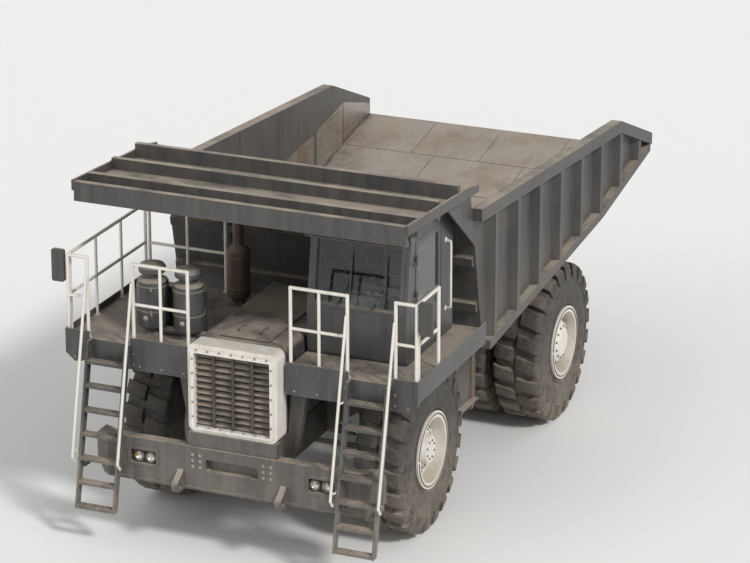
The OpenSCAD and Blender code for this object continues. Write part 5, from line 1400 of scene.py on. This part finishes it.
bm = bmesh.new()
for x0, x1, strips in LINER_ROWS:
    width = 2 * LINER_HALF / strips
    a, b = x0 - LINER_GAP / 2, x1 + LINER_GAP / 2
    for k in range(strips):
        y0 = -LINER_HALF + k * width + LINER_GAP / 2
        y1 = y0 + width - LINER_GAP
        corners = [(a, y0), (a, y1), (b, y1), (b, y0)]
        wear_plate(bm, [(x, y, floor_z(x) - SUNK) for x, y in corners],
                   [(x, y, floor_z(x) + LINER_T) for x, y in corners])
soften(bm, 0.004, segments=1, angle=50)
add_piece("floor_liner", bm, "scoured", "dump_bed", smooth=30)
bm = bmesh.new()
for x0, x1, strips in LINER_ROWS:
    for k in range(1, strips):
        y = -LINER_HALF + k * 2 * LINER_HALF / strips
        for a in (x0 - 0.06, (x0 + x1) / 2 + 0.07, x1 + 0.20):
            bead(bm, (a, y, floor_z(a) + 0.006), (a - 0.14, y, floor_z(a - 0.14) + 0.006), radius=0.010)
add_piece("liner_welds", bm, "weld", "dump_bed", smooth=80)
print("liner rows", len(LINER_ROWS))

# %% Line the walls
WALL_IN, WALL_LINER_H, WALL_LINER_T, HEAD_LINER_H = 2.105, 0.640, 0.008, 0.900
HEAD_LEAN, HEAD_RISE, HEAD_PLATE = 0.480, 2.230, 1.045


def lining_plate(bm, corners, inward):
    """A thin plate on the wall points in corners, and plug welds on it. inward points into the body."""
    points = [Vector(c) for c in corners]
    wear_plate(bm, [p - inward * 0.002 for p in points], [p + inward * WALL_LINER_T for p in points])
    for across in (0.12, 0.50, 0.88):
        for up in (0.15, 0.85):
            foot, head = points[0].lerp(points[1], across), points[3].lerp(points[2], across)
            spot = foot.lerp(head, up) + inward * WALL_LINER_T
            turned(bm, [(0.026, -0.001), (0.020, 0.003), (0.012, 0.002), (0, 0.003)], facing(spot, inward),
                   steps=12)


def head_inside(z):
    """Rear face of the headboard at height z."""
    return BED_FRONT + HEAD_LEAN * (z - FLOOR_FRONT_Z) / HEAD_RISE


bm = bmesh.new()
for side in (1, -1):
    y = side * WALL_IN
    for x0, x1, _ in LINER_ROWS:
        a, b = x0 - LINER_GAP / 2, x1 + LINER_GAP / 2
        tops = [(x, y, min(floor_z(x) + WALL_LINER_H, on_line(SIDE_TOP_LINE, x) - 0.080)) for x in (b, a)]
        lining_plate(bm, [(a, y, floor_z(a) + 0.014), (b, y, floor_z(b) + 0.014)] + tops, -side * Y)
low = FLOOR_FRONT_Z + 0.020
high = low + HEAD_LINER_H
for k in range(4):
    y0 = -2 * HEAD_PLATE + HEAD_PLATE * k + LINER_GAP / 2
    y1 = y0 + HEAD_PLATE - LINER_GAP
    lining_plate(bm, [(head_inside(low), y0, low), (head_inside(low), y1, low), (head_inside(high), y1, high),
                      (head_inside(high), y0, high)], Vector((-HEAD_RISE, 0, HEAD_LEAN)).normalized())
add_piece("wall_liner", bm, "scoured", "dump_bed", smooth=30)
print("wall plates", 2 * len(LINER_ROWS) + 4)

# %% Weld the headboard and the canopy
HEAD_SEAMS = [(-2.10, -1.35), (-1.25, -0.05), (0.05, 1.25), (1.35, 2.10)]
HEAD_SEAM_Z = (2.600, 2.750, 3.250, 3.400, 3.900, 4.050)
CANOPY_BARS, BAR_HALF = (2.530, 3.180, 3.830), 0.040
bm = bmesh.new()
for z in HEAD_SEAM_Z:
    x = on_line(HEAD_LINE, z) + 0.002
    for y0, y1 in HEAD_SEAMS:
        bead(bm, (x, y0, z), (x, y1, z), radius=0.009)
for x in [bar + edge for bar in CANOPY_BARS for edge in (-BAR_HALF, BAR_HALF)]:
    z = on_line(CANOPY_LINE, x)
    bead(bm, (x, -2.20, z), (x, 2.20, z))
add_piece("head_welds", bm, "weld", "dump_bed", smooth=80)
print("headboard seams", len(HEAD_SEAM_Z) * len(HEAD_SEAMS))

# %% [markdown]
# ## Handrail feet and deck bolts
# The posts of the deck rails stand on square plates that are bolted through the tread plate. The
# runs below are those of the rails on the solid model, and a post stands at both ends of each bay.

# %% Fit the rail feet
EDGE, FRONT, BACK = 2.340, 4.210, 2.070
# Straight runs of rail: (start, end, bays)
RAIL_RUNS = [
    ((FRONT, 0.690), (FRONT, 1.440), 2), ((FRONT, 2.070), (FRONT, EDGE), 1),
    ((FRONT, -0.690), (FRONT, -1.440), 2), ((FRONT, -2.070), (FRONT, -EDGE), 1),
    ((FRONT - 0.060, EDGE), (3.510, EDGE), 1), ((FRONT - 0.060, -EDGE), (BACK, -EDGE), 3),
    ((BACK, -EDGE + 0.060), (BACK, -1.190), 2)]
FOOT_HALF, FOOT_TOP, FOOT_BOLTS = 0.038, DECK_TOP + 0.009, (-0.027, 0.027)
bm = bmesh.new()
heads = bmesh.new()
for start, end, bays in RAIL_RUNS:
    for i in range(bays + 1):
        x = start[0] + (end[0] - start[0]) * i / bays
        y = start[1] + (end[1] - start[1]) * i / bays
        cuboid(bm, (x - FOOT_HALF, y - FOOT_HALF, DECK_TOP - 0.001), (x + FOOT_HALF, y + FOOT_HALF, FOOT_TOP))
        for dx in FOOT_BOLTS:
            for dy in FOOT_BOLTS:
                bolt(heads, (x + dx, y + dy, FOOT_TOP), Z, 0.007, spin=x + dy)
soften(bm, 0.003, segments=1)
add_piece("rail_feet", bm, "white")
for side in (1, -1):
    for z in (2.30, 2.44):
        for y in (LADDER_Y - 0.077, LADDER_Y + LADDER_WIDTH + 0.077):
            bolt(heads, (DECK_FRONT + 0.001, side * y, z), X, 0.011)
for side in (1, -1):
    # Six bolts at one pitch, without the two that the ladder would cover
    for k in (0, 1, 2, 5):
        bolt(heads, (DECK_FRONT, side * (0.75 + 0.30 * k), 2.285), X, 0.010, spin=0.4 * k)
add_piece("deck_bolts", heads, "zinc")
print("rail posts", sum(b + 1 for _, _, b in RAIL_RUNS))

# %% [markdown]
# ## Tank and filter fittings
# Each tank shows its level in a guarded sight glass. Straps are closed by long bolts, caps are held
# by a ring of screws, and the drain is a hexagon plug. Toggle clamps close the bands of the air
# cleaners, whose dust drops out through a rubber valve at the bottom.

# %% Fit the tanks
TANK_OUT = 1.560
# (side, bottom, top, x of the sight glass, x of the cap)
TANKS = [(1, 0.720, 1.620, 0.420, 0.910), (-1, 0.800, 1.560, 0.700, 0.530)]


def on_tank(side, x, out, z):
    """A point that stands out from the outer face of one side's tank."""
    return Vector((x, side * (TANK_OUT + out), z))


bm = bmesh.new()
glass_tube = bmesh.new()
for side, low, high, gauge_x, cap_x in TANKS:
    for z in (low + 0.16, high - 0.16):
        cuboid(bm, on_tank(side, gauge_x - 0.022, 0, z - 0.022),
               on_tank(side, gauge_x + 0.022, 0.030, z + 0.022))
        bolt(bm, on_tank(side, gauge_x, 0.030, z), side * Y, 0.009)
    length = high - low - 0.364
    turned(glass_tube, [(0.0, 0.0), (0.009, 0.0), (0.009, length), (0.0, length)],
           Matrix.Translation(on_tank(side, gauge_x, 0.016, low + 0.182)), steps=14)
    for x in (gauge_x - 0.016, gauge_x + 0.016):
        swept(bm, [on_tank(side, x, 0.022, low + 0.175), on_tank(side, x, 0.022, high - 0.175)], 0.0035,
              sides=6)
    for x in (0.430, 1.000):
        for z in (low + 0.10, high - 0.10):
            cuboid(bm, on_tank(side, x - 0.022, 0.009, z - 0.008), on_tank(side, x + 0.022, 0.040, z + 0.008))
        swept(bm, [on_tank(side, x, 0.028, high - 0.155), on_tank(side, x, 0.028, high - 0.055)], 0.0075,
              sides=8)
        bolt(bm, on_tank(side, x, 0.028, high - 0.090), Z, 0.012)
    turned(bm, [(0.030, 0.0), (0.028, 0.016), (0.016, 0.018), (0.015, 0.036), (0, 0.038)],
           facing((0.70, side * 1.05, low), -Z), steps=6)
    bolt_ring(bm, Matrix.Translation((cap_x, side * 1.360, high + 0.001)), 0.094, 6, 0.006, turn=0.0)
add_piece("tank_fittings", bm, "zinc")
add_piece("sight_glasses", glass_tube, "amber_lens")
print("tanks fitted", len(TANKS))

# %% Clamp the air cleaners
CLEANER_X, CLEANER_Y, CLEANER_R = 3.750, (-0.900, -1.400), 0.203
bm = bmesh.new()
rubber = bmesh.new()
for y in CLEANER_Y:
    for z in (DECK_TOP + 0.320, DECK_TOP + 0.640):
        for a in angles(3, math.radians(20)):
            out = polar(1, a)
            foot = Vector((CLEANER_X, y, z)) + out * CLEANER_R
            prism(bm, [(-0.014, -0.030), (0.014, -0.030), (0.014, 0.034), (-0.014, 0.034)],
                  framed(foot - out * 0.004, Z.cross(out), Z, out), 0.010)
            swept(bm, [foot + out * 0.012 - Z * 0.03, foot + out * 0.020, foot + out * 0.010 + Z * 0.045],
                  0.004, sides=6)
    turned(bm, [(0.036, 0), (0.036, 0.050), (0.024, 0.058), (0, 0.060)],
           facing((CLEANER_X + 0.165, y, DECK_TOP + 0.250), X), steps=20)
    turned(rubber, [(0.042, 0.0), (0.044, 0.030), (0.030, 0.065), (0.034, 0.080), (0.016, 0.105), (0, 0.105)],
           facing((CLEANER_X, y, DECK_TOP + 0.200), (0.85, 0, -1)), steps=20)
add_piece("cleaner_clamps", bm, "zinc")
add_piece("dust_valves", rubber, "hose")
print("air cleaners fitted", len(CLEANER_Y))

# %% [markdown]
# ## Steel pipes
# Brake, hoist and steering oil runs in bent steel pipe. Three pipes follow each rail over its step
# towards the rear axle and are clipped to it, thin ones lie along the axle housing, and a pair runs
# from the ports of each steering cylinder to the middle of the frame.

# %% Route the pipes
RAIL_OUT, FRONT_X, REAR_X = 0.540, 2.650, -1.550
STEER_X, STEER_Z = 2.270, 0.997
# Clips along a rail and along the axle housing: (x, z) and (y, height over the hub)
RAIL_CLIPS = [(1.3, 1.525), (0.86, 1.525), (0.45, 1.618), (-0.05, 1.76), (-0.55, 1.862), (-1.05, 1.862)]
HOUSING = [(0.10, 0.345), (0.20, 0.325), (0.31, 0.262), (0.41, 0.212), (0.60, 0.205)]
bm = bmesh.new()
clips = bmesh.new()


def bent(points, radius=0.05, steps=4):
    """The straight route through points with round bends of the given radius."""
    pts = [Vector(p) for p in points]
    path = [pts[0]]
    for before, corner, after in zip(pts, pts[1:], pts[2:]):
        a, b = (before - corner).normalized(), (after - corner).normalized()
        reach = min(radius, (before - corner).length / 2, (after - corner).length / 2)
        for k in range(steps + 1):
            t = k / steps
            path.append(corner + a * reach * (1 - t) ** 2 + b * reach * t ** 2)
    return path + [pts[-1]]


for side in (1, -1):
    y, y_in, y_out = side * (RAIL_OUT + 0.014), side * (RAIL_OUT - 0.02), side * (RAIL_OUT + 0.030)
    for k in range(3):
        low, high = 1.525 + 0.028 * k, 1.862 + 0.028 * k
        ahead, behind = 1.900 - 0.1 * k, -1.150 - 0.35 * k
        swept(bm, bent([(ahead, y_in, low), (ahead - 0.050, y, low), (0.780, y, low), (-0.410, y, high),
                        (behind, y, high), (behind - 0.050, y_in, high)]), 0.010, sides=8)
    for x, z in RAIL_CLIPS:
        cuboid(clips, (x - 0.020, side * RAIL_OUT, z - 0.022), (x + 0.020, y_out, z + 0.078))
        bolt(clips, (x, y_out, z + 0.014), side * Y, 0.007)
        bolt(clips, (x, y_out, z + 0.042), side * Y, 0.007)
    swept(bm, smooth_path([(REAR_X + 0.10, side * y, HUB_Z + r) for y, r in HOUSING], steps=3), 0.008,
          sides=8)
    for y, r in HOUSING[1:4]:
        cuboid(clips, (REAR_X + 0.085, side * y - 0.014, HUB_Z + r - 0.030),
               (REAR_X + 0.115, side * y + 0.014, HUB_Z + r + 0.012))
    for y, dx in ((0.155, 0.03), (0.640, -0.03)):
        port = Vector((STEER_X, side * y, STEER_Z + 0.055))
        turned(clips, [(0.020, 0), (0.020, 0.022), (0.014, 0.026), (0.014, 0.036), (0, 0.036)],
               facing(port, Z), steps=6)
        end = Vector((STEER_X + dx, side * (0.110 + y * 0.05), port.z + 0.075))
        swept(bm, bent([port + Z * 0.02, port + Z * 0.075, end, (end.x, end.y, 1.185)], radius=0.035), 0.009,
              sides=8)
swept(bm, [(REAR_X + 0.10, -0.10, HUB_Z + 0.345), (REAR_X + 0.10, 0.10, HUB_Z + 0.345)], 0.008, sides=8)
cuboid(clips, (REAR_X + 0.075, -0.03, HUB_Z + 0.318), (REAR_X + 0.125, 0.03, HUB_Z + 0.365))
add_piece("oil_pipes", bm, "zinc")
add_piece("pipe_clips", clips, "frame")
print("pipes routed")

# %% [markdown]
# ## Axle, shaft and strut bolts
# Each bolted cover shows a ring of hexagon heads. Single bolts hold the bumper to the rails and close
# the end box, and three keep each pivot pin's cap.

# %% Bolt the axle, the shaft and the struts
END_BOX_X, BUMPER_X, STRUT_Y = -3.080, 4.480, 1.080
PIVOT_X, PIVOT_Z, PIVOT_PIN_OUT = -2.900, 2.000, 0.602
bm = bmesh.new()
bolt_ring(bm, facing((REAR_X - 0.306, 0, HUB_Z), -X), 0.277, 16, 0.012)
bolt_ring(bm, facing((REAR_X - 0.345, 0, HUB_Z), -X), 0.215, 10, 0.009)
for side in (1, -1):
    bolt_ring(bm, facing((REAR_X, side * 0.630, HUB_Z), -side * Y), 0.200, 18, 0.009)
    bolt_ring(bm, facing((FRONT_X, side * STRUT_Y, 2.317), Z), 0.138, 8, 0.009)
    top = Vector((FRONT_X, side * STRUT_Y, 2.330))
    cuboid(bm, top + Vector((-0.035, -0.030, -0.002)), top + Vector((0.035, 0.030, 0.028)))
    turned(bm, [(0.010, 0), (0.010, 0.03), (0.006, 0.034), (0.006, 0.044), (0, 0.044)],
           facing(top + Vector((0.018, 0, 0.026)), Z), steps=12)
    for y in (0.080, 0.240):
        for z in (1.595, 1.705):
            bolt(bm, (END_BOX_X, side * y, z), -X, 0.014, spin=y + z)
    bolt_ring(bm, facing((PIVOT_X, side * PIVOT_PIN_OUT, PIVOT_Z), side * Y), 0.034, 3, 0.010)
    for y in (0.430, 0.530):
        for z in (1.170, 1.250, 1.330):
            bolt(bm, (BUMPER_X, side * y, z), X, 0.016, spin=3 * z)
for x, direction in ((-0.310, X), (1.115, -X)):
    bolt_ring(bm, facing((x, 0, HUB_Z), direction), 0.092, 8, 0.008)
add_piece("axle_bolts", bm, "zinc")
print("bolt rings done")

# %% [markdown]
# ## The dressed truck
# The dressed truck may stand proud of the solid model by about three parts in a hundred of each side
# and no more.

# %% Finish
print("truck dressed")
